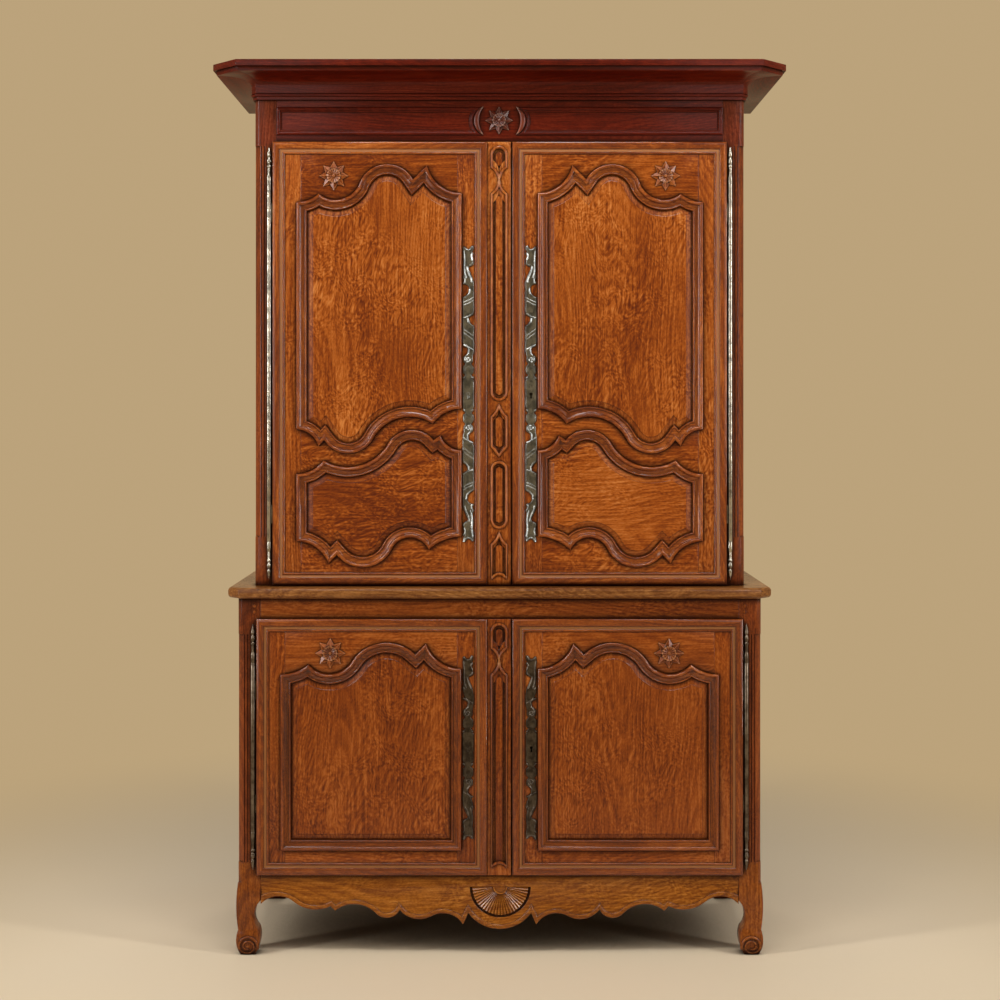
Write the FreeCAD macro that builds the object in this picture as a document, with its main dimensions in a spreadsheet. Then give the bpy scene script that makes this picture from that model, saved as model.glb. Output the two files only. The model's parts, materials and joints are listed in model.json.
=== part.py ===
import FreeCAD, Part
import copy
import math
import os

import Sketcher

doc = FreeCAD.newDocument("housekeepers_cupboard")
sheet = doc.addObject("Spreadsheet::Sheet", "Sizes")

# Driving sizes in millimetres
sizes = {
    # cases
    "base_width": 1434,
    "base_depth": 570,
    "base_top_thickness": 30,
    "base_top_overhang": 28,
    "base_top_cant": 34,
    "base_top_round": 11,
    "base_rail_height": 67,
    "upper_setback": 35,
    "upper_side_setback": 41,
    "frieze_height": 197,
    "leg_size": 62,
    "post_size": 60,
    "rail_thickness": 28,
    "corner_cant": 9.5,
    "stop_chamfer": 15.5,
    "chamfer_stop": 66,
    "quirk_width": 2,
    "quirk_first": 17,
    "quirk_second": 26,
    "side_inset": 4,
    "board_thickness": 20,
    "back_board_thickness": 12,
    "back_inset": 4,
    "batten_size": 20,
    "shelf_setback": 52,
    "upper_sill_height": 44,
    "side_rail_height": 90,
    "base_side_rail_low": 170,
    "cornice_rail_height": 140,
    # joinery
    "tenon_length": 30,
    "tenon_thickness": 9,
    "tenon_shoulder": 12,
    "groove_depth": 10,
    "fit": 0.2,
    # cornice
    "cornice_projection": 109,
    "cornice_height": 90,
    "cornice_lap": 70,
    "crown_fillet": 17,
    "lower_fillet": 12,
    "lower_fillet_setback": 9,
    "cove_depth": 58,
    "cove_height": 24,
    "neck_projection": 10,
    "neck_bead": 9,
    "foot_fillet": 8,
    # frieze
    "frieze_border_high": 20,
    "frieze_border_low": 30,
    "frieze_border_width": 14,
    "frieze_border_rise": 5,
    "frieze_star_gap": 46,
    "frieze_end_hollow": 25,
    # feet and apron
    "knee_height": 150,
    "knee_top": 200,
    "knee_bulge": 4.5,
    "ankle_height": 105,
    "ankle_depth": 19,
    "scroll_height": 70,
    "scroll_bulge": 7.5,
    "toe_inset": 6,
    "heel_inset": 16,
    "apron_bead_width": 12,
    "apron_bead_rise": 4,
    "apron_middle": 72,
    "apron_end": 152,
    # doors, where a panel's high edge is measured from the door's top if it is the last one
    "lip_overlap": 10,
    "lip_thickness": 10,
    "lip_clearance": 0.5,
    "leaf_depth": 18,
    "door_gap": 2.5,
    "meeting_gap": 3,
    "mullion_width": 66,
    "mullion_rise": 1,
    "mullion_tongue": 8,
    "upper_door_clearance": 3,
    "upper_door_height": 1221,
    "base_door_low": 222,
    "base_door_height": 700,
    "hinge_margin": 66,
    "lock_margin": 70,
    "lower_panel_low": 120,
    "lower_panel_high": 306,
    "upper_panel_low": 122,
    "upper_panel_high": 166,
    "base_panel_low": 68,
    "base_panel_high": 150,
    "upper_head_rise": 104,
    "upper_foot_rise": 123,
    "lower_head_rise": 121,
    "lower_foot_rise": 84,
    "base_head_rise": 86,
    # mouldings and panels
    "edge_torus_width": 20,
    "edge_torus_rise": 6,
    "edge_cove_width": 7,
    "edge_bead_width": 7,
    "cadre_width": 29,
    "cadre_lap": 12,
    "cadre_rise": 9,
    "cadre_back": 17,
    "panel_thickness": 12,
    "panel_tongue": 6,
    "panel_bevel": 16,
    "panel_play": 1,
    "field_step": 1.5,
    # hinges
    "hinge_offset": 10,
    "hinge_standoff": 7,
    "hinge_inset": 14,
    "knuckle_length": 105,
    "barrel_radius": 6,
    "pin_radius": 3,
    "pin_length": 30,
    "pin_fit": 0.05,
    "leaf_thickness": 2,
    "leaf_height": 50,
    "leaf_reach": 18,
    "end_play": 0.5,
    # lock plates, locks and slide bolts
    "plate_width": 30,
    "plate_thickness": 2.5,
    "upper_plate_half": 408,
    "base_plate_half": 252,
    "upper_plate_height": 526,
    "base_plate_height": 349,
    "keyhole_radius": 4.5,
    "keyhole_slot_width": 4,
    "keyhole_slot_drop": 13,
    "case_length": 72,
    "case_height": 90,
    "case_depth": 16,
    "case_wall": 2,
    "case_inset": 3,
    "bolt_length": 50,
    "bolt_height": 16,
    "bolt_thickness": 8,
    "slide_fit": 0.3,
    "rod_radius": 4,
    "rod_length": 150,
    "rod_travel": 25,
    "rod_drop": 10,
    "rod_gap": 1.5,
    "rod_fit": 0.08,
    "staple_height": 12,
    "staple_wall": 4,
    "knob_height": 10,
    "knob_reach": 12,
    "latch_plate_width": 34,
}
for row, (alias, value) in enumerate(sizes.items(), start=1):
    sheet.set("A%d" % row, alias)
    sheet.set("B%d" % row, str(value))
    sheet.setAlias("B%d" % row, alias)
doc.recompute()


# A length that keeps the sheet formula it comes from beside its number
class Size:
    def __init__(self, formula, number):
        self.formula = formula
        self.number = number

    def __float__(self):
        return self.number

    def __add__(self, other):
        other = as_size(other)
        return Size("(%s + %s)" % (self.formula, other.formula), self.number + other.number)

    def __sub__(self, other):
        other = as_size(other)
        return Size("(%s - %s)" % (self.formula, other.formula), self.number - other.number)

    def __mul__(self, other):
        other = as_size(other)
        return Size("(%s * %s)" % (self.formula, other.formula), self.number * other.number)

    def __truediv__(self, other):
        other = as_size(other)
        return Size("(%s / %s)" % (self.formula, other.formula), self.number / other.number)

    def __neg__(self):
        return Size("(0 - %s)" % self.formula, -self.number)


def as_size(value):
    if isinstance(value, Size):
        return value
    return Size(repr(float(value)), float(value))


class Sheet:
    def __getattr__(self, alias):
        return Size("Sizes." + alias, float(sheet.get(alias)))


s = Sheet()
nodes = []


# Document objects bound to the sheet

def bind(piece, prop, size):
    piece.setExpression(prop, as_size(size).formula)


def place(piece, x, y, z):
    for axis, size in zip("xyz", (x, y, z)):
        bind(piece, "Placement.Base." + axis, size)
    return piece


def board(name, x, y, z):
    piece = doc.addObject("Part::Box", name)
    for prop, span in zip(("Length", "Width", "Height"), (x, y, z)):
        bind(piece, prop, as_size(span[1]) - span[0])
    return place(piece, x[0], y[0], z[0])


def rod(name, x, y, z, radius):
    piece = doc.addObject("Part::Cylinder", name)
    bind(piece, "Radius", radius)
    bind(piece, "Height", as_size(z[1]) - z[0])
    return place(piece, x, y, z[0])


# A cylinder that runs along y
def cross_rod(name, x, y, z, radius):
    piece = doc.addObject("Part::Cylinder", name)
    bind(piece, "Radius", radius)
    bind(piece, "Height", as_size(y[1]) - y[0])
    piece.Placement.Rotation = FreeCAD.Rotation(FreeCAD.Vector(1, 0, 0), -90)
    return place(piece, x, y[0], z)


def join(name, pieces):
    whole = doc.addObject("Part::MultiFuse", name)
    whole.Shapes = pieces
    return whole


def cut(name, piece, tools):
    result = doc.addObject("Part::Cut", name)
    result.Base = piece
    result.Tool = tools[0] if len(tools) == 1 else join(name + "_tools", tools)
    return result


def group(name, pieces):
    whole = doc.addObject("Part::Compound", name)
    whole.Links = pieces
    return whole


def mirrored(name, piece):
    copy = doc.addObject("Part::Mirroring", name)
    copy.Source = piece
    copy.Normal = FreeCAD.Vector(1, 0, 0)
    return copy


def feature(name, shape):
    piece = doc.addObject("Part::Feature", name)
    piece.Shape = shape
    return piece


def node(label, piece):
    piece.Label = label
    nodes.append(piece)
    return piece


# A span grown at both ends by the joint clearance
def eased(span, room=None):
    room = s.fit if room is None else room
    return (as_size(span[0]) - room, as_size(span[1]) + room)


# The left-hand span of a pair of distances from the middle
def left(near, far):
    return (-as_size(far), -as_size(near))


# A sketch of straight lines, every corner tied to the sheet
def sketch_polygon(body, role, corners):
    plane = [p for p in body.Origin.OriginFeatures if p.Role == role][0]
    sketch = body.newObject("Sketcher::SketchObject", body.Name + "_sketch")
    sketch.AttachmentSupport = [(plane, "")]
    sketch.MapMode = "FlatFace"
    points = [FreeCAD.Vector(float(a), float(b), 0) for a, b in corners]
    count = len(points)
    for i in range(count):
        sketch.addGeometry(Part.LineSegment(points[i], points[(i + 1) % count]), False)
    for i in range(count):
        sketch.addConstraint(Sketcher.Constraint("Coincident", i, 2, (i + 1) % count, 1))
    for i, corner in enumerate(corners):
        for kind, axis, size in (("DistanceX", -2, corner[0]), ("DistanceY", -1, corner[1])):
            size = as_size(size)
            if size.number == 0:
                sketch.addConstraint(Sketcher.Constraint("PointOnObject", i, 1, axis))
                continue
            index = sketch.addConstraint(Sketcher.Constraint(kind, i, 1, size.number))
            sketch.setExpression("Constraints[%d]" % index, size.formula)
    return sketch


def padded_body(name, corners, length):
    body = doc.addObject("PartDesign::Body", name)
    sketch = sketch_polygon(body, "XY_Plane", corners)
    pad = body.newObject("PartDesign::Pad", name + "_pad")
    pad.Profile = sketch
    bind(pad, "Length", length)
    return body


# Flat outlines are listed clockwise as (a, b, r), where r is the radius of the stretch that follows a
# corner: above zero where it bulges outwards, below zero where it is hollow, and zero where it is straight.
# Each becomes a list of (corner, middle), where middle is halfway along an arc and None on a straight
# stretch. Two stretches join smoothly if half the turn between them, in radians, is below smooth_turn
smooth_turn = 1e-4


def arc_middle(p, q, r):
    dx, dy = q[0] - p[0], q[1] - p[1]
    chord = math.hypot(dx, dy)
    rise = math.copysign(abs(r) - math.sqrt(r * r - chord * chord / 4), r)
    return ((p[0] + q[0]) / 2 - dy / chord * rise, (p[1] + q[1]) / 2 + dx / chord * rise)


def shaped(corners):
    outline = []
    for i, p in enumerate(corners):
        q = corners[(i + 1) % len(corners)]
        outline.append((p[:2], arc_middle(p, q, p[2]) if p[2] else None))
    return outline


# One stretch of an outline: its direction where it starts and ends and, for an arc, its centre and its radius
class Stretch:
    def __init__(self, p, middle, q):
        self.p, self.centre = p, None
        self.start = self.end = math.atan2(q[1] - p[1], q[0] - p[0])
        if middle:
            half = math.dist(p, q) / 2
            rise = math.dist(middle, ((p[0] + q[0]) / 2, (p[1] + q[1]) / 2))
            bulge = math.sin(math.atan2(middle[1] - p[1], middle[0] - p[0]) - self.start)
            bend = math.copysign(2 * math.atan2(rise, half), bulge)
            self.start, self.end = self.start + bend, self.end - bend
            self.radius = math.copysign((half ** 2 + rise ** 2) / (2 * rise), bulge)
            self.centre = inwards(p, self.start, self.radius)

    def moved(self, inset):
        stretch = copy.copy(self)
        stretch.p = inwards(self.p, self.start, inset)
        if self.centre:
            stretch.radius = self.radius - inset
        return stretch

    # the places where this stretch and another one, both run on, meet
    def meetings(self, other):
        if self.centre and other.centre:
            return circles_meet(self, other)
        if self.centre or other.centre:
            return line_meets_circle(*((other, self) if self.centre else (self, other)))
        dx, dy = other.p[0] - self.p[0], other.p[1] - self.p[1]
        across = dx * math.sin(other.start) - dy * math.cos(other.start)
        return [onwards(self.p, self.start, across / math.sin(other.start - self.start))]


def onwards(p, heading, length):
    return (p[0] + math.cos(heading) * length, p[1] + math.sin(heading) * length)


# A clockwise outline has its inside to the right
def inwards(p, heading, length):
    return onwards(p, heading - math.pi / 2, length)


def line_meets_circle(line, circle):
    dx, dy = circle.centre[0] - line.p[0], circle.centre[1] - line.p[1]
    along = dx * math.cos(line.start) + dy * math.sin(line.start)
    aside = dx * math.sin(line.start) - dy * math.cos(line.start)
    if abs(aside) > abs(circle.radius):
        return []
    reach = math.sqrt(circle.radius ** 2 - aside ** 2)
    return [onwards(line.p, line.start, along + way) for way in (reach, -reach)]


def circles_meet(one, two):
    apart = math.dist(one.centre, two.centre)
    heading = math.atan2(two.centre[1] - one.centre[1], two.centre[0] - one.centre[0])
    along = (apart ** 2 + one.radius ** 2 - two.radius ** 2) / (2 * apart)
    if abs(along) > abs(one.radius):
        return []
    reach = math.sqrt(one.radius ** 2 - along ** 2)
    return [inwards(onwards(one.centre, heading, along), heading, way) for way in (reach, -reach)]


# The outline moved inwards. Arcs keep their centres, a smooth join moves square to itself, and at a corner
# the stretches run to where they meet, or along the mitre if they would pass each other
def inset_outline(outline, inset):
    count = len(outline)
    stretches = [Stretch(*outline[i], outline[(i + 1) % count][0]) for i in range(count)]
    corners = []
    for i, (corner, _) in enumerate(outline):
        before, after = stretches[i - 1], stretches[i]
        half_turn = math.remainder(after.start - before.end, 2 * math.pi) / 2
        corner = inwards(corner, before.end + half_turn, inset / math.cos(half_turn))
        if abs(half_turn) > smooth_turn:
            meetings = before.moved(inset).meetings(after.moved(inset))
            corner = min(meetings, key=lambda spot: math.dist(spot, corner), default=corner)
        corners.append(corner)
    moved = []
    for i, stretch in enumerate(stretches):
        p, q, middle = corners[i], corners[(i + 1) % count], None
        if stretch.centre:
            arc = stretch.moved(inset)
            turn = math.atan2((p[1] + q[1]) / 2 - arc.centre[1], (p[0] + q[0]) / 2 - arc.centre[0])
            middle = onwards(arc.centre, turn, abs(arc.radius))
        moved.append((p, middle))
    return moved


def outline_edges(outline, to_space):
    edges = []
    for i, (p, middle) in enumerate(outline):
        q = outline[(i + 1) % len(outline)][0]
        if middle:
            edges.append(Part.Arc(to_space(*p), to_space(*middle), to_space(*q)).toShape())
        else:
            edges.append(Part.LineSegment(to_space(*p), to_space(*q)).toShape())
    return edges


def outline_face(outline, to_space):
    return Part.Face(Part.Wire(outline_edges(outline, to_space)))


# The face between a stretch of an outline and the same stretch moved
def strip(one, two, is_round):
    if is_round:
        return Part.makeRuledSurface(one, two)
    ends = [one.Vertexes[0].Point, one.Vertexes[1].Point, two.Vertexes[1].Point, two.Vertexes[0].Point]
    return Part.Face(Part.makePolygon(ends + ends[:1]))


# A moulding run round an outline, or a panel worked over it. The section is a list of (inset, height).
# An open section is closed by a flat face over its first and last outlines
def moulded(outline, section, to_space, is_ring):
    rounds = []
    for inset, height in section:
        moved = inset_outline(outline, inset)
        rounds.append(outline_edges(moved, lambda a, b, h=height: to_space(a, b, h)))
    faces = []
    pairs = list(zip(rounds, rounds[1:]))
    if is_ring:
        pairs.append((rounds[-1], rounds[0]))
    else:
        faces += [Part.Face(Part.Wire(rounds[0])), Part.Face(Part.Wire(rounds[-1]))]
    for lower, upper in pairs:
        faces += [strip(one, two, middle) for one, two, (_, middle) in zip(lower, upper, outline)]
    shell = Part.Shell(faces)
    shell.sewShape()
    solid = Part.Solid(shell)
    if solid.Volume < 0:
        solid.reverse()
    return solid


# Points of a rounded stretch of a section, on half an ellipse that stands on its chord
def half_round(start, width, base, rise, steps=6):
    turns = [math.pi * i / steps for i in range(steps + 1)]
    return [(start + width / 2 * (1 - math.cos(t)), base + rise * math.sin(t)) for t in turns]


def facing_front(plane):
    return lambda a, b, h=0.0: FreeCAD.Vector(a, float(plane) - h, b)


# Places worked out from the driving sizes
half_base = s.base_width / 2
half_upper = half_base - s.upper_side_setback
base_front = (s.cornice_projection - s.upper_setback - s.base_depth) / 2
upper_front = base_front + s.upper_setback
back = base_front + s.base_depth
base_inner = half_base - s.leg_size
upper_inner = half_upper - s.post_size
base_open_low = s.base_door_low + s.lip_overlap
base_open_high = s.base_door_low + s.base_door_height - s.lip_overlap
base_height = base_open_high + s.base_rail_height
ledge = base_height + s.base_top_thickness
upper_door_low = ledge + s.upper_door_clearance
upper_door_high = upper_door_low + s.upper_door_height
upper_open_low = ledge + s.upper_sill_height
upper_open_high = upper_door_high - s.lip_overlap
roof = upper_open_high + s.frieze_height
meeting = (s.mullion_width + s.meeting_gap) / 2
edge_width = s.edge_torus_width + s.edge_cove_width + s.edge_bead_width
hinge_stile = s.hinge_margin + s.cadre_lap
lock_stile = s.lock_margin + s.cadre_lap
zero = as_size(0)


# Joinery shared by the rails and the posts they enter

def tenon_across(rail_front):
    middle = rail_front + s.rail_thickness / 2
    return (middle - s.tenon_thickness / 2, middle + s.tenon_thickness / 2)


def tenon_height(z):
    return (z[0] + s.tenon_shoulder, z[1] - s.tenon_shoulder)


# A front rail between two posts, with a tenon that shows at both ends
def front_rail(name, body, inner, rail_front, tenon_z):
    tenon = board(name + "_tenon", left(-inner - s.tenon_length, inner + s.tenon_length),
                  tenon_across(rail_front), tenon_z)
    return join(name, [body, tenon])


def front_mortise(name, inner, rail_front, tenon_z):
    x = left(inner - s.fit, inner + s.tenon_length + s.fit)
    return board(name, x, eased(tenon_across(rail_front)), eased(tenon_z))


class Side:
    # one side of a case: its post, its front plane and the heights of its rails
    def __init__(self, name, half, post, front, rails):
        self.name = name
        self.rails = rails
        self.outer = half - s.side_inset
        self.y = (front + post, back - post)
        middle = self.outer - s.rail_thickness / 2
        self.tenon_x = left(middle - s.tenon_thickness / 2, middle + s.tenon_thickness / 2)
        self.panel_x = left(middle - s.panel_tongue / 2, middle + s.panel_tongue / 2)
        self.tenon_y = (self.y[0] - s.tenon_length, self.y[1] + s.tenon_length)
        self.gaps = [(low[1], high[0]) for low, high in zip(rails, rails[1:])]

    def grooves(self, tag):
        tools = []
        for i, gap in enumerate(self.gaps):
            name = "%s_groove_%s_%d" % (self.name, tag, i)
            tools.append(board(name, eased(self.panel_x), eased((self.y[0] - s.groove_depth,
                                                                self.y[1] + s.groove_depth)),
                               eased((gap[0] - s.groove_depth, gap[1] + s.groove_depth))))
        return tools

    def mortises(self, tag):
        tools = []
        for i, z in enumerate(self.rails):
            name = "%s_mortise_%s_%d" % (self.name, tag, i)
            tools.append(board(name, eased(self.tenon_x), eased(self.tenon_y), eased(tenon_height(z))))
        return tools

    def left_rails(self):
        pieces = []
        for i, z in enumerate(self.rails):
            name = "%s_rail_%d" % (self.name, i)
            body = board(name + "_body", left(self.outer - s.rail_thickness, self.outer), self.y, z)
            tenon = board(name + "_tenon", self.tenon_x, self.tenon_y, tenon_height(z))
            pieces.append(cut(name, join(name + "_whole", [body, tenon]), self.grooves("rail_%d" % i)))
        return pieces

    # fielded panels whose thin edges sit in the grooves
    def left_panels(self):
        pieces = []
        face = -float(self.panel_x[0])
        for i, gap in enumerate(self.gaps):
            y = (float(self.y[0] - s.groove_depth), float(self.y[1] + s.groove_depth))
            z = (float(gap[0] - s.groove_depth), float(gap[1] + s.groove_depth))
            outline = shaped([(y[0], z[1], 0), (y[1], z[1], 0), (y[1], z[0], 0), (y[0], z[0], 0)])
            clear = float(s.groove_depth) * 1.5
            raised = float(s.panel_thickness - s.panel_tongue)
            section = [(0, -float(s.panel_tongue)), (0, 0), (clear, 0),
                       (clear + float(s.panel_bevel) * 2, raised)]
            pieces.append(feature("%s_panel_%d" % (self.name, i), moulded(
                outline, section, lambda a, b, h=0.0: FreeCAD.Vector(-face - h, a, b), False)))
        return pieces


upper_middle = (ledge + roof) / 2
upper_side = Side("upper_side", half_upper, s.post_size, upper_front, [
    (ledge, ledge + s.side_rail_height),
    (upper_middle - s.side_rail_height / 2, upper_middle + s.side_rail_height / 2),
    (roof - s.cornice_rail_height, roof)])
base_side = Side("base_side", half_base, s.leg_size, base_front, [
    (s.base_side_rail_low, s.base_side_rail_low + s.side_rail_height),
    (base_height - s.side_rail_height, base_height)])


# Hinge places, for the left-hand doors
class Hinge:
    def __init__(self, name, inner, front, low, height):
        self.name = name
        self.front = front
        self.x = -(inner + s.lip_overlap + s.hinge_offset)
        self.y = front - s.hinge_standoff
        self.low = low + s.hinge_inset
        self.high = low + height - s.hinge_inset
        self.barrel = (self.low + s.knuckle_length + s.end_play, self.high - s.knuckle_length - s.end_play)
        self.thin = (self.x - s.leaf_thickness / 2, self.x + s.leaf_thickness / 2)
        shank = s.knuckle_length - s.leaf_height
        self.post_leaves = [(self.low + shank, self.low + s.knuckle_length - s.end_play),
                            (self.high - s.knuckle_length + s.end_play, self.high - shank)]
        self.door_leaves = [(self.barrel[0] + s.leaf_height, self.barrel[0] + s.leaf_height * 2),
                            (self.barrel[1] - s.leaf_height * 2, self.barrel[1] - s.leaf_height)]

    # slots in the post for the knuckles' leaves
    def post_slots(self):
        y = (self.front - s.fit, self.front + s.leaf_reach + s.fit)
        return [board("%s_post_slot_%d" % (self.name, i), eased(self.thin), y, eased(z))
                for i, z in enumerate(self.post_leaves)]

    # slots in the hinge stile for the barrel's leaves
    def door_slots(self):
        edge = self.x + s.hinge_offset
        y = eased((self.y - s.leaf_thickness / 2, self.y + s.leaf_thickness / 2))
        x = (edge - s.fit, edge + s.leaf_reach + s.fit)
        return [board("%s_door_slot_%d" % (self.name, i), x, y, eased(z))
                for i, z in enumerate(self.door_leaves)]

    def turned_knuckle(self, name, z, is_top):
        # radii and heights from the tip up, as shares of the barrel and of the knuckle
        turning = [(0.12, 0.0), (0.6, 0.1), (0.85, 0.2), (0.9, 0.24), (0.55, 0.28), (0.95, 0.33),
                   (1.02, 0.38), (0.8, 0.44), (0.6, 0.46), (1.0, 0.49), (1.0, 0.52), (0.7, 0.55),
                   (0.7, 0.72), (1.0, 0.8)]
        corners = [(zero, zero)]
        corners += [(s.barrel_radius * r, s.knuckle_length * h) for r, h in turning]
        corners += [(s.barrel_radius, s.knuckle_length), (s.pin_radius, s.knuckle_length),
                    (s.pin_radius, s.knuckle_length + s.pin_length), (zero, s.knuckle_length + s.pin_length)]
        body = doc.addObject("PartDesign::Body", name)
        sketch = sketch_polygon(body, "XZ_Plane", corners)
        turned = body.newObject("PartDesign::Revolution", name + "_turned")
        turned.Profile = sketch
        turned.ReferenceAxis = (sketch, ["V_Axis"])
        turned.Angle = 360
        if is_top:
            body.Placement.Rotation = FreeCAD.Rotation(FreeCAD.Vector(1, 0, 0), 180)
        return place(body, self.x, self.y, z)

    def left_knuckles(self):
        pieces = []
        for i, is_top in enumerate((False, True)):
            name = "%s_knuckle_%d" % (self.name, i)
            body = self.turned_knuckle(name + "_body", self.high if is_top else self.low, is_top)
            leaf = board(name + "_leaf", self.thin, (self.y, self.front + s.leaf_reach), self.post_leaves[i])
            pieces.append(join(name, [body, leaf]))
        return pieces

    def left_barrel(self):
        tube = rod(self.name + "_tube", self.x, self.y, self.barrel, s.barrel_radius)
        y = (self.y - s.leaf_thickness / 2, self.y + s.leaf_thickness / 2)
        x = (self.x, self.x + s.hinge_offset + s.leaf_reach)
        leaves = [board("%s_door_leaf_%d" % (self.name, i), x, y, z) for i, z in enumerate(self.door_leaves)]
        bore = rod(self.name + "_bore", self.x, self.y, eased(self.barrel), s.pin_radius + s.pin_fit)
        return cut(self.name + "_barrel", join(self.name + "_barrel_whole", [tube] + leaves), [bore])


upper_hinge = Hinge("upper_hinge", upper_inner, upper_front, upper_door_low, s.upper_door_height)
base_hinge = Hinge("base_hinge", base_inner, base_front, s.base_door_low, s.base_door_height)


# Posts: a canted outer corner, deepened to a stop chamfer between two stops, with quirks beside it

def corner_tool(name, half, front, leg, z):
    tool = doc.addObject("Part::Box", name)
    bind(tool, "Length", leg * math.sqrt(2) * 3)
    bind(tool, "Width", s.post_size)
    bind(tool, "Height", z[1] - z[0])
    tool.Placement.Rotation = FreeCAD.Rotation(FreeCAD.Vector(0, 0, 1), 135)
    return place(tool, -half + leg * 2, front - leg, z[0])


def stop_tools(name, half, front, z):
    tools = [corner_tool(name + "_stop_chamfer", half, front, s.stop_chamfer, z)]
    for i, first in enumerate((s.quirk_first, s.quirk_second)):
        tools.append(board("%s_quirk_%d" % (name, i), (first - half, first + s.quirk_width - half),
                           (front - s.fit, front + s.quirk_width), z))
    return tools


upper_stop = (upper_door_low + s.chamfer_stop * 2, upper_open_high)
base_stop = (s.base_door_low + s.chamfer_stop / 2, base_open_high - s.chamfer_stop / 2)
frieze_z = (upper_open_high, roof)
sill_z = (ledge, upper_open_low)
base_rail_z = (base_open_high, base_height)
apron_tenon_z = (s.apron_end + s.tenon_shoulder * 2, base_open_low - s.tenon_shoulder)


def upper_front_post():
    corners = [(zero, s.corner_cant), (s.corner_cant, zero), (s.post_size, zero),
               (s.post_size, s.post_size), (zero, s.post_size)]
    post = place(padded_body("upper_post_body", corners, roof - ledge), -half_upper, upper_front, ledge)
    tools = stop_tools("upper_post", half_upper, upper_front, upper_stop)
    tools.append(front_mortise("frieze_mortise", upper_inner, upper_front, tenon_height(frieze_z)))
    tools.append(front_mortise("sill_mortise", upper_inner, upper_front, tenon_height(sill_z)))
    tools += upper_side.mortises("front") + upper_side.grooves("front") + upper_hinge.post_slots()
    return cut("upper_post_left", post, tools)


# The outline of a leg seen from the front or the side, measured in from its outer face:
# straight above the knee, hollow at the ankle, swelling to a scroll at the floor
def leg_outline():
    size, depth, toe = float(s.leg_size), float(s.ankle_depth), float(s.toe_inset)
    knee, ankle, scroll = float(s.knee_height), float(s.ankle_height), float(s.scroll_height)
    hollow = (depth ** 2 + (knee - ankle) ** 2) / (2 * depth)
    scroll_edge = size - depth + hollow - math.sqrt(hollow ** 2 - (ankle - scroll) ** 2)
    heel = size - float(s.heel_inset)
    bulge = float(s.scroll_bulge)

    def radius(p, q, rise):
        half = math.hypot(q[0] - p[0], q[1] - p[1]) / 2
        return (half ** 2 + rise ** 2) / (2 * rise)

    top = float(base_height)
    corners = [(0, top), (size, top), (size, knee), (scroll_edge, scroll), (heel, 0), (toe, 0),
               (0, scroll), (0, float(s.knee_top))]
    rounds = [0, 0, -hollow, radius(corners[3], corners[4], bulge), 0, radius(corners[5], corners[6], bulge),
              radius(corners[6], corners[7], float(s.knee_bulge)), 0]
    return shaped([(*corner, r) for corner, r in zip(corners, rounds)])


def base_front_leg():
    outer, front, size = -float(half_base), float(base_front), float(s.leg_size)
    reach = size + float(s.scroll_bulge) * 2
    shape = leg_outline()
    seen_front = outline_face(shape, lambda a, b: FreeCAD.Vector(outer + a, front + size, b))
    seen_side = outline_face(shape, lambda a, b: FreeCAD.Vector(outer + size, front + a, b))
    whole = doc.addObject("Part::Common", "base_leg_whole")
    whole.Base = feature("base_leg_front_view", seen_front.extrude(FreeCAD.Vector(0, -reach, 0)))
    whole.Tool = feature("base_leg_side_view", seen_side.extrude(FreeCAD.Vector(-reach, 0, 0)))
    cant_z = (s.knee_top, base_height + s.fit)
    tools = [corner_tool("base_leg_cant", half_base, base_front, s.corner_cant, cant_z)]
    tools += stop_tools("base_leg", half_base, base_front, base_stop)
    tools.append(front_mortise("base_rail_mortise", base_inner, base_front, tenon_height(base_rail_z)))
    tools.append(front_mortise("apron_mortise", base_inner, base_front, apron_tenon_z))
    tools += base_side.mortises("front") + base_side.grooves("front") + base_hinge.post_slots()
    return cut("base_leg_left", whole, tools)


def back_post(name, half, size, z, side):
    post = board(name + "_body", left(half - size, half), (back - size, back), z)
    return cut(name, post, side.mortises("back") + side.grooves("back"))


def case_sides():
    post = node("upper_left_post", upper_front_post())
    node("upper_right_post", mirrored("upper_post_right", post))
    leg = node("base_left_leg", base_front_leg())
    node("base_right_leg", mirrored("base_leg_right", leg))
    upper_back = back_post("upper_back_post", half_upper, s.post_size, (ledge, roof), upper_side)
    node("upper_back_posts", group("upper_back_pair", [upper_back, mirrored("upper_back_other", upper_back)]))
    base_back = back_post("base_back_leg", half_base, s.leg_size, (zero, base_height), base_side)
    node("base_back_legs", group("base_back_pair", [base_back, mirrored("base_back_other", base_back)]))
    for side in (upper_side, base_side):
        rails = side.left_rails()
        rails += [mirrored(rail.Name + "_right", rail) for rail in rails]
        node(side.name + "_rails", group(side.name + "_rail_set", rails))
        panels = side.left_panels()
        panels += [mirrored(panel.Name + "_right", panel) for panel in panels]
        node(side.name + "_panels", group(side.name + "_panel_set", panels))


# Backs, floors, shelves and the battens under them
back_face = back - s.back_inset - s.back_board_thickness
board_count = 6


def back_boards(name, inner, z):
    width = inner * 2 / board_count
    y = (back_face, back - s.back_inset)
    return group(name, [board("%s_%d" % (name, i), (width * i - inner, width * (i + 1) - inner), y, z)
                        for i in range(board_count)])


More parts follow.
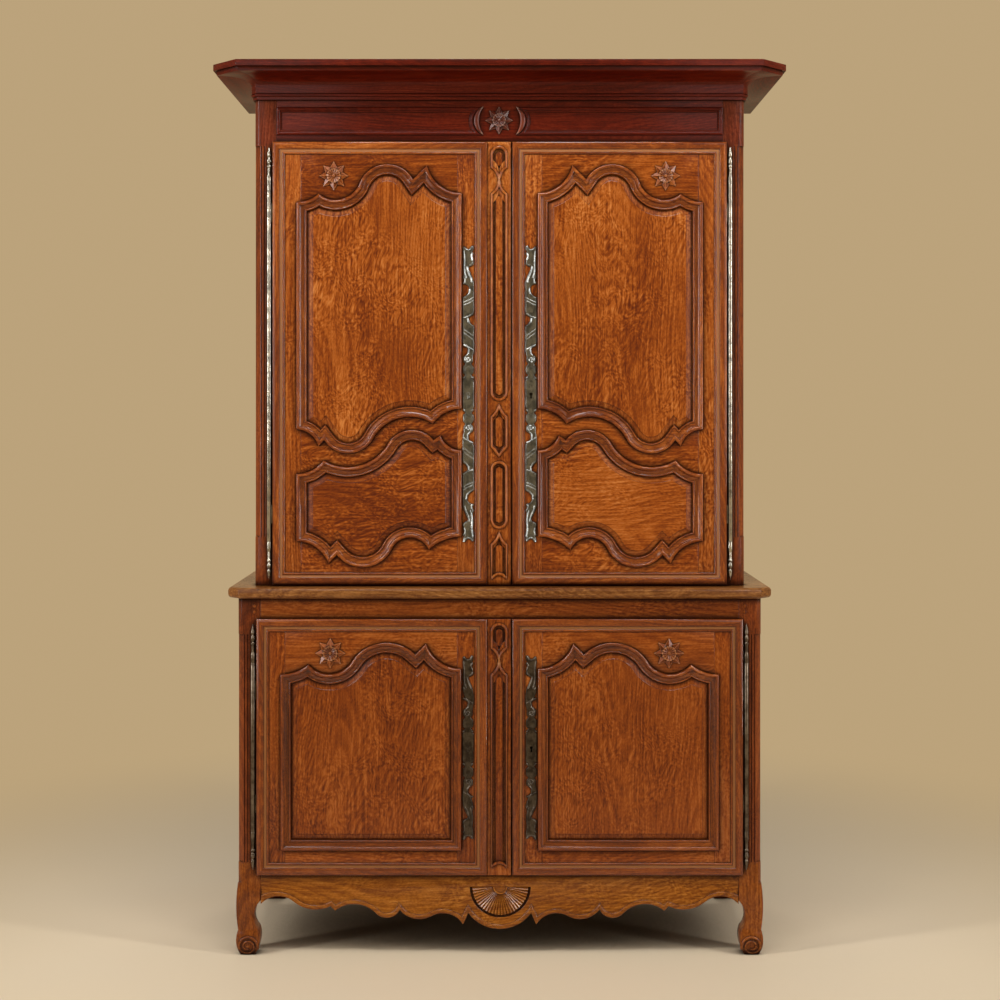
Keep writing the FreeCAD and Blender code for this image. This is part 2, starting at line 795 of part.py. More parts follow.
def case_inside():
    node("upper_back_boards", back_boards("upper_back_board", upper_inner, (ledge, roof)))
    node("base_back_boards", back_boards("base_back_board", base_inner, (s.base_side_rail_low, base_height)))
    rail_y = (back_face - s.rail_thickness, back_face)
    rails = [("upper_low", upper_inner, sill_z),
             ("upper_high", upper_inner, (roof - s.side_rail_height, roof)),
             ("base_low", base_inner, (s.base_side_rail_low, base_open_low)),
             ("base_high", base_inner, base_rail_z)]
    node("back_rails", group("back_rail_set", [board("back_rail_" + name, left(-inner, inner), rail_y, z)
                                               for name, inner, z in rails]))
    upper_gap = (roof - upper_open_low) / 3
    base_gap = (base_height - base_open_low) / 2
    levels = [("upper_floor_board", upper_front, upper_inner, upper_open_low, True),
              ("upper_shelf_low", upper_front, upper_inner, upper_open_low + upper_gap, False),
              ("upper_shelf_high", upper_front, upper_inner, upper_open_low + upper_gap * 2, False),
              ("base_floor_board", base_front, base_inner, base_open_low, True),
              ("base_shelf_board", base_front, base_inner, base_open_low + base_gap, False)]
    boards, battens = {}, []
    for name, front, inner, top, is_floor in levels:
        z = (top - s.board_thickness, top)
        y = (front + s.rail_thickness, rail_y[0]) if is_floor else (front + s.shelf_setback, back_face)
        boards[name] = board(name, left(-inner, inner), y, z)
        batten = board(name + "_batten", left(inner - s.batten_size, inner),
                       (front + s.shelf_setback, rail_y[0]), (z[0] - s.batten_size, z[0]))
        battens += [batten, mirrored(name + "_batten_right", batten)]
    node("upper_floor", boards["upper_floor_board"])
    node("upper_shelves", group("upper_shelf_pair", [boards["upper_shelf_low"], boards["upper_shelf_high"]]))
    node("base_floor", boards["base_floor_board"])
    node("base_shelf", boards["base_shelf_board"])
    node("shelf_battens", group("batten_set", battens))


# Front rails, the frieze with its bordered panels, and the shaped apron

def frieze_border():
    inner, gap = float(upper_inner), float(s.frieze_star_gap)
    high = float(roof - s.cornice_lap - s.frieze_border_high)
    low = float(upper_open_high + s.frieze_border_low)
    half, hollow = (high - low) / 2, float(s.frieze_end_hollow)
    end = (half ** 2 + hollow ** 2) / (2 * hollow)
    outline = shaped([(-inner, high, 0), (-gap, high, -end), (-gap, low, 0), (-inner, low, 0)])
    width, rise = float(s.frieze_border_width), float(s.frieze_border_rise)
    section = [(0, 0), (0, rise * 0.3)] + half_round(0.5, width * 0.6, rise * 0.3, rise * 0.7)
    section += [(width * 0.75, rise * 0.25), (width, rise * 0.15), (width, 0)]
    return feature("frieze_border", moulded(outline, section, facing_front(upper_front), True))


# Two tangent arcs: a hollow that is lowest at dip, then an arch that is highest at crown
def ogee(dip, crown, arch):
    across, lift = crown[0] - dip[0], dip[1] - crown[1] + arch
    hollow = (across ** 2 + lift ** 2 - arch ** 2) / (2 * (arch - lift))
    centre = (crown[0], crown[1] - arch)
    share = arch / (arch + hollow)
    turn = (centre[0] + (dip[0] - centre[0]) * share, centre[1] + (dip[1] + hollow - centre[1]) * share)
    return hollow, turn


def arch_height(crown, arch, at):
    return crown[1] - arch + math.sqrt(arch ** 2 - (at - crown[0]) ** 2)


# The point of a hollow that lies an angle before its lowest point
def hollow_start(dip, hollow, degrees):
    turn = math.radians(degrees)
    return (dip[0] - hollow * math.sin(turn), dip[1] + hollow * (1 - math.cos(turn)))


# The right half of the apron's lower edge, from the middle out. Places along it are shares of its half
# length, and heights are shares of its rise from the middle to the ends
def apron_half():
    reach, low = float(base_inner), float(s.apron_middle)
    rise = float(s.apron_end) - low

    def spot(share, lift):
        return (reach * share, low + rise * lift)

    cusp = spot(0.131, 0.54)
    middle = (cusp[0] ** 2 + (cusp[1] - low) ** 2) / (2 * (cusp[1] - low))
    # an arch that falls to a hollow
    crown, dip, arch = spot(0.238, 0.54), spot(0.344, 0.3), reach * 0.1
    hollow, turn = ogee((-dip[0], dip[1]), (-crown[0], crown[1]), arch)
    start = reach * 0.153
    points = [(*cusp, 0), (start, arch_height(crown, arch, start), arch), (-turn[0], turn[1], -hollow)]
    # two hollows that rise to an arch and drop to a point
    waves = [(62.86, spot(0.473, 0.38), spot(0.609, 0.85), 0.128, 0.689),
             (25.38, spot(0.769, 0.66), spot(0.925, 1.12), 0.1, 1.0)]
    for degrees, dip, crown, share, stop in waves:
        arch = reach * share
        hollow, turn = ogee(dip, crown, arch)
        points += [(*hollow_start(dip, hollow, degrees), -hollow), (*turn, arch),
                   (reach * stop, arch_height(crown, arch, reach * stop), 0)]
    return points, middle


def apron():
    half, middle = apron_half()
    top, reach = float(base_open_low), float(base_inner)
    corners = [(-reach, top, 0), (reach, top, 0)]
    # this edge is seen from below, so each radius changes its sign, and on the way from right to left
    # a corner takes the radius of the stretch that comes before it in the half
    radii = [-r for a, b, r in half]
    corners += [(a, b, r) for (a, b, _), r in zip(half[::-1], radii[-2::-1] + [middle])]
    corners += [(-a, b, r) for (a, b, _), r in zip(half, radii)]
    outline = shaped(corners)
    whole = outline_face(outline, facing_front(base_front))
    field = inset_outline(outline, float(s.apron_bead_width))
    field[0], field[1] = outline[0], outline[1]
    field[2] = ((reach, field[2][0][1]), field[2][1])
    field[-1] = ((-reach, field[-1][0][1]), None)
    bead = whole.cut(outline_face(field, facing_front(base_front)))
    plate = whole.extrude(FreeCAD.Vector(0, float(s.rail_thickness), 0))
    bead = bead.extrude(FreeCAD.Vector(0, -float(s.apron_bead_rise), 0))
    body = feature("apron_body", plate.fuse(bead).removeSplitter())
    return front_rail("apron_whole", body, base_inner, base_front, apron_tenon_z)


def case_front():
    y = (upper_front, upper_front + s.rail_thickness)
    frieze = front_rail("frieze_whole", board("frieze_body", left(-upper_inner, upper_inner), y, frieze_z),
                        upper_inner, upper_front, tenon_height(frieze_z))
    border = frieze_border()
    node("frieze_rail", group("frieze_set", [frieze, border, mirrored("frieze_border_right", border)]))
    node("upper_sill", front_rail("sill_whole",
                                  board("sill_body", left(-upper_inner, upper_inner), y, sill_z),
                                  upper_inner, upper_front, tenon_height(sill_z)))
    y = (base_front, base_front + s.rail_thickness)
    node("base_top_rail", front_rail("base_rail_whole",
                                     board("base_rail_body", left(-base_inner, base_inner), y, base_rail_z),
                                     base_inner, base_front, tenon_height(base_rail_z)))
    node("base_apron", apron())


# The base top and the roof: boards with canted front corners

def canted_board(name, width, depth, cant, thickness):
    corners = [(zero, cant), (cant, zero), (width - cant, zero), (width, cant), (width, depth), (zero, depth)]
    return padded_body(name, corners, thickness)


def moulded_top():
    width = s.base_width + s.base_top_overhang * 2
    depth = s.base_depth + s.base_top_overhang
    body = canted_board("base_top_body", width, depth, s.base_top_cant, s.base_top_thickness)
    doc.recompute()
    pad = body.Tip
    edge_names = []
    for i, edge in enumerate(pad.Shape.Edges, start=1):
        box = edge.BoundBox
        if box.ZLength < 1e-6 and box.YMin < float(depth) - 1e-6:
            edge_names.append("Edge%d" % i)
    fillet = body.newObject("PartDesign::Fillet", "base_top_rounding")
    fillet.Base = (pad, edge_names)
    bind(fillet, "Radius", s.base_top_round)
    return place(body, -half_base - s.base_top_overhang, base_front - s.base_top_overhang, base_height)


# The cornice: one section, from the case face out, run as five lengths mitred at the canted corners
def cornice_section():
    high, far = float(s.cornice_height), float(s.cornice_projection)
    neck, bead, foot = float(s.neck_projection), float(s.neck_bead), float(s.foot_fillet)
    step = high - float(s.crown_fillet)
    soffit = step - float(s.lower_fillet)
    ledge_edge = far - float(s.lower_fillet_setback)
    depth, rise = float(s.cove_depth), float(s.cove_height)
    section = [(0, 0), (neck * 0.6, 0), (neck * 0.6, foot)]
    section += [(neck * 0.6 + bead * 0.6 * math.sin(t), foot + bead / 2 * (1 - math.cos(t)))
                for t in [math.pi * i / 6 for i in range(1, 6)]]
    section += [(neck, foot + bead), (neck, soffit - rise)]
    section += [(neck + depth * (1 - math.cos(t)), soffit - rise + rise * math.sin(t))
                for t in [math.pi / 2 * i / 7 for i in range(1, 8)]]
    section += [(ledge_edge, soffit), (ledge_edge, step), (far, step), (far, high), (0, high)]
    return section


def cornice():
    half, front, cant = float(half_upper), float(upper_front), float(s.corner_cant)
    low, mitre = float(roof - s.cornice_lap), math.tan(math.radians(22.5))

    def corner(p, at):
        places = [(half + p, float(back)), (half + p, front + cant - p * mitre),
                  (half - cant + p * mitre, front - p)]
        x, y = places[at if at < 3 else 5 - at]
        return (x if at < 3 else -x, y)

    def section_wire(at):
        points = [FreeCAD.Vector(*corner(p, at), low + z) for p, z in cornice_section()]
        return Part.makePolygon(points + points[:1])

    wires = [section_wire(at) for at in range(6)]
    return group("cornice_lengths", [feature("cornice_length_%d" % at, Part.makeLoft(list(pair), True, True))
                                     for at, pair in enumerate(zip(wires, wires[1:]))])


def case_top():
    node("base_top", moulded_top())
    roof_board = canted_board("roof_body", half_upper * 2, s.base_depth - s.upper_setback, s.corner_cant,
                              s.board_thickness)
    node("roof_board", place(roof_board, -half_upper, upper_front, roof))
    node("cornice", cornice())


# Doors. A shaped end of a panel, from one upright to the other: a hollow shoulder up to a cusp, a dip,
# an arch that ends in a short straight run to a notch, a straight run to a peak, and a hollow shoulder.
# Places along it are shares of its length, heights are shares of its rise, and the cusp is an angle before
# the lowest point of the dip
notch_run = 0.012


class Wave:
    def __init__(self, cusp, dip, crown, arch, notch, peak, end):
        self.cusp, self.dip, self.crown, self.arch = cusp, dip, crown, arch
        self.notch, self.peak, self.end = notch, peak, end

    def points(self, length, rise):
        dip = (self.dip[0] * length, self.dip[1] * rise)
        crown = (self.crown * length, rise)
        arch = self.arch * length
        hollow, turn = ogee(dip, crown, arch)
        cusp = hollow_start(dip, hollow, self.cusp)
        stop = (self.notch * length, arch_height(crown, arch, self.notch * length))
        notch = onwards(stop, -math.asin((stop[0] - crown[0]) / arch), notch_run * length)
        peak = (self.peak[0] * length, self.peak[1] * rise)
        end = self.end * rise
        first = (cusp[0] ** 2 + cusp[1] ** 2) / (2 * cusp[1])
        last = ((length - peak[0]) ** 2 + (peak[1] - end) ** 2) / (2 * (peak[1] - end))
        return [(0, 0, -first), (*cusp, -hollow), (*turn, arch), (*stop, 0), (*notch, 0), (*peak, -last),
                (length, end, 0)]


upper_head = Wave(39.56, (0.236, 0.06), 0.55, 0.18, 0.7, (0.79, 0.97), 0.24)
upper_foot = Wave(33.6, (0.314, 0.18), 0.686, 0.172, 0.824, (0.866, 0.84), 0.465)
lower_head = Wave(30.9, (0.31, 0.16), 0.7, 0.17, 0.822, (0.872, 0.88), 0.54)
lower_foot = Wave(67.07, (0.312, 0.026), 0.6, 0.198, 0.747, (0.805, 0.88), 0.15)
base_head = Wave(50.34, (0.269, 0.006), 0.586, 0.229, 0.737, (0.805, 0.98), 0.18)


class Panel:
    # one shaped panel of a left-hand door: its sides, the heights of its hinge-side corners and its ends
    def __init__(self, x, low, high, head, head_rise, foot=None, foot_rise=zero):
        self.low, self.high = low, high
        self.head_end = head_rise * head.end
        self.foot_end = foot_rise * (foot.end if foot else 0)
        x0, x1 = float(x[0]), float(x[1])
        top, bottom = float(high), float(low + self.foot_end)
        corners = [(x0 + a, top + b, r) for a, b, r in head.points(x1 - x0, float(head_rise))]
        if foot:
            corners += [(x1 - a, bottom - b, r) for a, b, r in foot.points(x1 - x0, float(foot_rise))]
        else:
            corners += [(x1, bottom, 0), (x0, bottom, 0)]
        self.outline = shaped(corners)


# How far in the groove for a panel's edge is cut, as a share of the moulding's width, and how far below
# the door's face it lies, as a share of the edge's thickness
cadre_groove = 0.83
cadre_sink = 0.75


# Section of the bolection moulding that frames a panel, from its outer arris in: a bead, a hollow, a small
# bead, then a body let into the frame with a groove for the panel's edge
def cadre_section():
    width, rise, lap = float(s.cadre_width), float(s.cadre_rise), float(s.cadre_lap + s.fit)
    deep, tongue = float(s.cadre_back), float(s.panel_tongue)
    groove_top, groove = tongue * cadre_sink, width * cadre_groove
    section = [(0, 0)] + half_round(0, width * 0.36, rise * 0.45, rise * 0.55)
    section += [(width * 0.36 + width * 0.4 * k, rise * (0.45 - 0.4 * math.sin(math.pi / 2 * k)))
                for k in (0.33, 0.67, 1.0)]
    section += half_round(width * 0.78, width * 0.16, rise * 0.05, rise * 0.2, 4)
    section += [(width, -groove_top * 0.6), (width, -groove_top), (groove, -groove_top),
                (groove, -groove_top - tongue), (width, -groove_top - tongue), (width, -deep),
                (lap, -deep), (lap, 0)]
    return section


# Section of a shaped panel, measured in from the outer arris of its moulding
def panel_section():
    width, tongue, play = float(s.cadre_width), float(s.panel_tongue), float(s.panel_play)
    edge, field = width * cadre_groove + play, width + float(s.panel_bevel)
    front = -tongue * cadre_sink - float(s.fit)
    raised = front + float(s.panel_thickness - s.panel_tongue)
    return [(edge, front - tongue + float(s.fit) * 2), (edge, front), (width + play, front),
            (field, raised - float(s.field_step)), (field, raised)]


# Section of the moulding round the edge of a door: a torus, a cove and a bead
def edge_section():
    torus, rise = float(s.edge_torus_width), float(s.edge_torus_rise)
    cove, bead = float(s.edge_cove_width), float(s.edge_bead_width)
    section = [(0, 0)] + half_round(0, torus, rise * 0.25, rise * 0.75, 8)
    section.append((torus + cove * 0.3, rise * 0.1))
    section += half_round(torus + cove, bead, rise * 0.1, rise * 0.45)
    section.append((torus + cove + bead, 0))
    return section


class Door:
    # the left-hand door of a pair; the right-hand one mirrors it
    def __init__(self, name, front, inner, low, height, opening, hinge, panels):
        self.name, self.front, self.low, self.high, self.hinge = name, front, low, low + height, hinge
        self.edge = -(inner + s.lip_overlap)
        self.hinge_x = (self.edge, self.edge + hinge_stile)
        self.lock_x = (-meeting - lock_stile, -meeting)
        self.panel_x = (self.edge + s.hinge_margin, -meeting - s.lock_margin)
        self.back_edge = -(inner - s.door_gap)
        self.lip_y = (front - s.lip_thickness, front - s.lip_clearance)
        self.back_y = (front - s.lip_clearance, front + s.leaf_depth)
        self.back_z = (opening[0] + s.door_gap, opening[1] - s.door_gap)
        self.face = front - s.lip_thickness
        self.panels = [Panel(self.panel_x, *panel) for panel in panels]
        middle = front + s.leaf_depth / 2
        self.tenon_y = (middle - s.tenon_thickness / 2, middle + s.tenon_thickness / 2)

    # tenons of each rail at the hinge side and the lock side, between the panels' corners
    def tenons(self):
        first, last = self.panels[0], self.panels[-1]
        rows = [[(self.back_z[0] + s.tenon_shoulder, first.low + s.cadre_lap - s.tenon_shoulder)] * 2]
        for below, above in zip(self.panels, self.panels[1:]):
            rows.append([(below.high + s.tenon_shoulder, above.low - s.tenon_shoulder),
                         (below.high + below.head_end + s.tenon_shoulder,
                          above.low + above.foot_end - s.tenon_shoulder)])
        high = self.back_z[1] - s.tenon_shoulder
        rows.append([(last.high + s.tenon_shoulder, high),
                     (last.high + last.head_end + s.tenon_shoulder, high)])
        return rows

    def tenon_x(self, is_lock):
        if is_lock:
            return (self.lock_x[0] - s.tenon_shoulder, self.lock_x[0] + s.tenon_length)
        return (self.hinge_x[1] - s.tenon_length, self.hinge_x[1] + s.tenon_shoulder)

    def mortises(self, is_lock):
        tools = []
        for i, row in enumerate(self.tenons()):
            name = "%s_mortise_%d_%d" % (self.name, i, is_lock)
            tools.append(board(name, eased(self.tenon_x(is_lock)), eased(self.tenon_y), eased(row[is_lock])))
        return tools

    def hinge_stile(self):
        name = self.name + "_hinge_stile"
        lip = board(name + "_lip", self.hinge_x, self.lip_y, (self.low, self.high))
        body = board(name + "_body", (self.back_edge, self.hinge_x[1]), self.back_y, self.back_z)
        return cut(name, join(name + "_whole", [lip, body]), self.mortises(False) + self.hinge.door_slots())

    def lock_stile(self):
        name = self.name + "_lock_stile"
        lip = board(name + "_lip", self.lock_x, self.lip_y, (self.low, self.high))
        body = board(name + "_body", self.lock_x, self.back_y, self.back_z)
        return cut(name, join(name + "_whole", [lip, body]), self.mortises(True))

    # the shaped holes that the panels fill, as deep as the door
    def openings(self):
        tools = []
        depth = FreeCAD.Vector(0, float(s.lip_thickness + s.leaf_depth + s.leaf_depth), 0)
        for i, panel in enumerate(self.panels):
            hole = inset_outline(panel.outline, float(s.cadre_lap))
            face = outline_face(hole, facing_front(self.face - s.leaf_depth / 2))
            tools.append(feature("%s_opening_%d" % (self.name, i), face.extrude(depth)))
        return tools

    def rails(self):
        holes = self.openings()
        x = (self.hinge_x[1], self.lock_x[0])
        spans = [(self.low, self.panels[0].low + self.panels[0].foot_end + s.cadre_lap)]
        for below, above in zip(self.panels, self.panels[1:]):
            spans.append((below.high - s.cadre_lap, above.low + above.foot_end + s.cadre_lap))
        spans.append((self.panels[-1].high - s.cadre_lap, self.high))
        pieces = []
        for i, (span, row) in enumerate(zip(spans, self.tenons())):
            name = "%s_rail_%d" % (self.name, i)
            back_z = (self.back_z[0] if i == 0 else span[0],
                      self.back_z[1] if i == len(spans) - 1 else span[1])
            whole = join(name + "_whole", [board(name + "_lip", x, self.lip_y, span),
                                           board(name + "_body", x, self.back_y, back_z)])
            shaped = cut(name + "_shaped", whole, holes)
            tenons = [board("%s_tenon_%d" % (name, k), self.tenon_x(k), self.tenon_y, row[k]) for k in (0, 1)]
            pieces.append(join(name, [shaped] + tenons))
        return pieces

    def panel_boards(self):
        pieces = []
        for i, panel in enumerate(self.panels):
            shape = moulded(panel.outline, panel_section(), facing_front(self.face), False)
            pieces.append(feature("%s_panel_%d" % (self.name, i), shape))
        return pieces

    def mouldings(self):
        x0, x1, low, high = (float(v) for v in (self.edge, -meeting, self.low, self.high))
        outline = shaped([(x0, high, 0), (x1, high, 0), (x1, low, 0), (x0, low, 0)])
        seat = facing_front(self.face)
        rings = [feature(self.name + "_edge", moulded(outline, edge_section(), seat, True))]
        rings += [feature("%s_cadre_%d" % (self.name, i), moulded(panel.outline, cadre_section(), seat, True))
                  for i, panel in enumerate(self.panels)]
        return rings

    # a strip on the left door that hides the meeting edge, with a tongue into the stile
    def mullion(self):
        name = self.name + "_mullion"
        x = (-meeting, s.mullion_width - meeting)
        lip = board(name + "_lip", x, (self.face - s.mullion_rise, self.lip_y[1]), (self.low, self.high))
        body = board(name + "_body", x, self.back_y, self.back_z)
        tongue = board(name + "_tongue", (x[0] - s.mullion_tongue, x[1]), self.tongue_y(), self.tongue_z())
        return join(name, [lip, body, tongue])

    def tongue_y(self):
        middle = self.front + s.leaf_depth / 2
        return (middle - s.mullion_tongue / 2, middle + s.mullion_tongue / 2)

    def tongue_z(self):
        return (self.back_z[0] + s.tenon_shoulder, self.back_z[1] - s.tenon_shoulder)

    def tongue_groove(self):
        x = (-meeting - s.mullion_tongue - s.fit, -meeting + s.fit)
        return board(self.name + "_tongue_groove", x, eased(self.tongue_y()), eased(self.tongue_z()))


# Bites that pierce the edges of a lock plate: across, along and radius as shares of its half width,
# its half length and its half width. Each bite has a twin turned half round the keyhole
upper_bites = [(1.07, 0.132, 0.53), (-1.07, 0.132, 0.53), (1.07, 0.194, 0.47), (-1.07, 0.194, 0.47),
               (-0.93, 0.284, 0.87), (0.73, 0.498, 0.8), (-0.73, 0.699, 0.87), (1.0, 0.797, 0.8),
               (1.0, 0.846, 0.73), (0.0, 1.005, 0.55)]
base_bites = [(1.07, 0.187, 0.5), (-1.07, 0.187, 0.5), (1.07, 0.318, 0.47), (-1.07, 0.318, 0.47),
              (-1.0, 0.5, 0.73), (0.8, 0.78, 0.87), (0.0, 1.005, 0.55)]
plate_x = meeting + edge_width + (s.lock_margin - edge_width) / 2


def keyhole(name, x, y, z):
    eye = cross_rod(name + "_eye", x, y, z, s.keyhole_radius)
    slot = board(name + "_slot", (x - s.keyhole_slot_width / 2, x + s.keyhole_slot_width / 2), y,
                 (z - s.keyhole_slot_drop, z))
    return [eye, slot]


def lock_plate(door, half, z, bites):
    name = door.name + "_plate"
    y = (door.face - s.plate_thickness, door.face)
    wide = s.plate_width / 2
    strip = board(name + "_strip", (-plate_x - wide, -plate_x + wide), y, (z - half, z + half))
    tools = []
    for i, (across, along, radius) in enumerate(bites):
        for turn in (1, -1):
            tools.append(cross_rod("%s_bite_%d_%d" % (name, i, turn + 1), -plate_x + wide * (across * turn),
                                   eased(y), z + half * (along * turn), wide * radius))
    return cut(name, strip, tools)


# A lock on the back of the right-hand door: a hollow case and a bolt that passes behind the mullion
class Lock:
    def __init__(self, door, z):
        self.name, self.z = door.name, z
        self.x = (meeting + s.case_inset, meeting + s.case_inset + s.case_length)
        self.y = (door.back_y[1], door.back_y[1] + s.case_depth)
        self.z_span = (z - s.case_height / 2, z + s.case_height / 2)
        bolt_y = (self.y[0] + self.y[1] - s.bolt_thickness) / 2
        self.bolt_y = (bolt_y, bolt_y + s.bolt_thickness)
        self.bolt_z = (z - s.case_height / 4 - s.bolt_height / 2, z - s.case_height / 4 + s.bolt_height / 2)
        self.key_y = (door.face - s.plate_thickness - s.fit, self.y[0] + s.case_wall + s.fit)

    def case(self):
        name = self.name + "_lock_case"
        block = board(name + "_block", self.x, self.y, self.z_span)
        hollow = board(name + "_hollow", eased(self.x, -s.case_wall), eased(self.y, -s.case_wall),
                       eased(self.z_span, -s.case_wall))
        slot = board(name + "_slot", (self.x[0] - s.fit, self.x[0] + s.case_wall + s.fit),
                     eased(self.bolt_y, s.slide_fit), eased(self.bolt_z, s.slide_fit))
        return cut(name, block, [hollow, slot] + keyhole(name + "_key", plate_x, self.key_y, self.z))

    def bolt(self):
        x = (self.x[0], self.x[0] + s.bolt_length)
        return board(self.name + "_lock_bolt", x, self.bolt_y, self.bolt_z)


# A slide bolt on the back of the left-hand door, whose rod rises behind the rail above
class Latch:
    def __init__(self, door, opening_top):
        self.name = door.name + "_latch"
        self.x = -meeting - lock_stile / 2
        self.seat = door.back_y[1]
        self.y = door.front + s.rail_thickness + s.rod_gap + s.rod_radius
        self.rod_z = (opening_top - s.rod_drop - s.rod_length, opening_top - s.rod_drop)
        middle = opening_top - s.rod_drop - s.rod_length / 2
        self.knob_z = (middle - s.knob_height / 2, middle + s.knob_height / 2)
        low = self.knob_z[0] - s.end_play - s.staple_height
        high = self.knob_z[1] + s.rod_travel + s.end_play
        self.staples = [(low, low + s.staple_height), (high, high + s.staple_height)]

    def plate(self):
        wide = s.latch_plate_width / 2
        z = (self.staples[0][0] - s.staple_height, self.staples[1][1] + s.staple_height)
        pieces = [board(self.name + "_base", (self.x - wide, self.x + wide),
                        (self.seat, self.seat + s.leaf_thickness), z)]
        reach = s.rod_radius + s.staple_wall
        for i, span in enumerate(self.staples):
            pieces.append(board("%s_staple_%d" % (self.name, i), (self.x - reach, self.x + reach),
                                (self.seat, self.y + reach), span))
        bores = [rod("%s_bore_%d" % (self.name, i), self.x, self.y, eased(span), s.rod_radius + s.rod_fit)
                 for i, span in enumerate(self.staples)]
        return cut(self.name + "_plate", join(self.name + "_whole", pieces), bores)

    def rod(self):
        shaft = rod(self.name + "_shaft", self.x, self.y, self.rod_z, s.rod_radius)
        knob = cross_rod(self.name + "_knob", self.x, (self.y, self.y + s.knob_reach),
                         (self.knob_z[0] + self.knob_z[1]) / 2, s.knob_height / 2)
        return join(self.name + "_rod", [shaft, knob])


def build_doors(door, half, plate_height, bites, opening_top):
    name = door.name
    plate_z = door.low + plate_height
    stile, plain = door.hinge_stile(), door.lock_stile()
    node("%s_left_stiles" % name, group(name + "_left_pair", [
        stile, cut(name + "_lock_stile_left", plain, [door.tongue_groove()])]))
    lock = Lock(door, plate_z)
    node("%s_right_stiles" % name, group(name + "_right_pair", [
        mirrored(name + "_hinge_stile_right", stile),
        cut(name + "_lock_stile_right", mirrored(name + "_lock_stile_mirror", plain),
            keyhole(name + "_stile_key", plate_x, lock.key_y, plate_z))]))
    for kind, pieces in (("rails", door.rails()), ("panels", door.panel_boards()),
                         ("mouldings", door.mouldings())):
        node("%s_left_%s" % (name, kind), group("%s_%s_set" % (name, kind), pieces))
        node("%s_right_%s" % (name, kind), group("%s_%s_right" % (name, kind), [
            mirrored(piece.Name + "_mirror", piece) for piece in pieces]))
    plate = node("%s_left_lock_plate" % name, lock_plate(door, half, plate_z, bites))
    node("%s_right_lock_plate" % name, cut(name + "_plate_right", mirrored(name + "_plate_mirror", plate),
                                           keyhole(name + "_plate_key", plate_x, lock.key_y, plate_z)))
    barrel = node("%s_left_hinge_barrel" % name, door.hinge.left_barrel())
    node("%s_right_hinge_barrel" % name, mirrored(name + "_barrel_right", barrel))
    node("%s_mullion" % name, door.mullion())
    node("%s_lock_case" % name, lock.case())
    node("%s_lock_bolt" % name, lock.bolt())
    latch = Latch(door, opening_top)
    node("%s_latch_plate" % name, latch.plate())
    node("%s_latch_rod" % name, latch.rod())


def build_hinge_knuckles():
    pieces = upper_hinge.left_knuckles() + base_hinge.left_knuckles()
    pieces += [mirrored(piece.Name + "_right", piece) for piece in pieces]
    node("hinge_knuckles", group("knuckle_set", pieces))


case_sides()
case_inside()
case_front()
case_top()
lower_panel_top = upper_door_low + s.lower_panel_high
upper_door = Door("upper_door", upper_front, upper_inner, upper_door_low, s.upper_door_height,
                  (upper_open_low, upper_open_high), upper_hinge,
                  [(upper_door_low + s.lower_panel_low, lower_panel_top, lower_head, s.lower_head_rise,
                    lower_foot, s.lower_foot_rise),
                   (lower_panel_top + s.upper_panel_low, upper_door_high - s.upper_panel_high,
                    upper_head, s.upper_head_rise, upper_foot, s.upper_foot_rise)])
base_door = Door("base_door", base_front, base_inner, s.base_door_low, s.base_door_height,
                 (base_open_low, base_open_high), base_hinge,
                 [(s.base_door_low + s.base_panel_low,
                   s.base_door_low + s.base_door_height - s.base_panel_high, base_head, s.base_head_rise)])
build_doors(upper_door, s.upper_plate_half, s.upper_plate_height, upper_bites, upper_open_high)
build_doors(base_door, s.base_plate_half, s.base_plate_height, base_bites, base_open_high)
build_hinge_knuckles()

doc.recompute()
for piece in doc.Objects:
    if "Invalid" in piece.State or "Error" in piece.State:
        raise RuntimeError("%s did not build" % piece.Name)
os.makedirs("parts", exist_ok=True)
for piece in nodes:
    if piece.Shape.isNull() or not piece.Shape.isValid():
        raise RuntimeError("%s has no valid shape" % piece.Label)
for piece in nodes:
    piece.Shape.exportStep("parts/%s.step" % piece.Label)
print("%d sub-parts written" % len(nodes))
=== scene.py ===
import json
import math
import random

import bpy
import numpy as np
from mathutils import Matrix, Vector

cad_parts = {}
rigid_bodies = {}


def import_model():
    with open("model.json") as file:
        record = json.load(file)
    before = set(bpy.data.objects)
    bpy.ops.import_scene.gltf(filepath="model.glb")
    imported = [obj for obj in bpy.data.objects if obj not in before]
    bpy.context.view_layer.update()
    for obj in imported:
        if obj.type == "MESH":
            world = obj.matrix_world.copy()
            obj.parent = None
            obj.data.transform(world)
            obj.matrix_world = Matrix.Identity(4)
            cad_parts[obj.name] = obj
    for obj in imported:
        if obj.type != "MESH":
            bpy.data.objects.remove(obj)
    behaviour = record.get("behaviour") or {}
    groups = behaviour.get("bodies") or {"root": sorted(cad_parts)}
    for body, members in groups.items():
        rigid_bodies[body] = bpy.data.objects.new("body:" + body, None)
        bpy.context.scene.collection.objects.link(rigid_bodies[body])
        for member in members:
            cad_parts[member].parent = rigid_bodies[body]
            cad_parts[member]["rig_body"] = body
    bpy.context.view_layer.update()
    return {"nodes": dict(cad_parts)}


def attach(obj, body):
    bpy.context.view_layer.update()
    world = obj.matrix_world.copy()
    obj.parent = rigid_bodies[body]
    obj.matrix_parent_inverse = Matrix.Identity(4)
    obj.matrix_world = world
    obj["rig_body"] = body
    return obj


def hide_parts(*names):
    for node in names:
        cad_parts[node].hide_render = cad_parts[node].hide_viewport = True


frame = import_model()
bpy.ops.object.select_all(action="DESELECT")
print("frame loaded:", len(frame["nodes"]), "nodes")

# Camera, at the photograph's standpoint
viewpoint = {"place": (0.001, -4.648, 1.494), "lens": 57.8, "shift": -0.09}

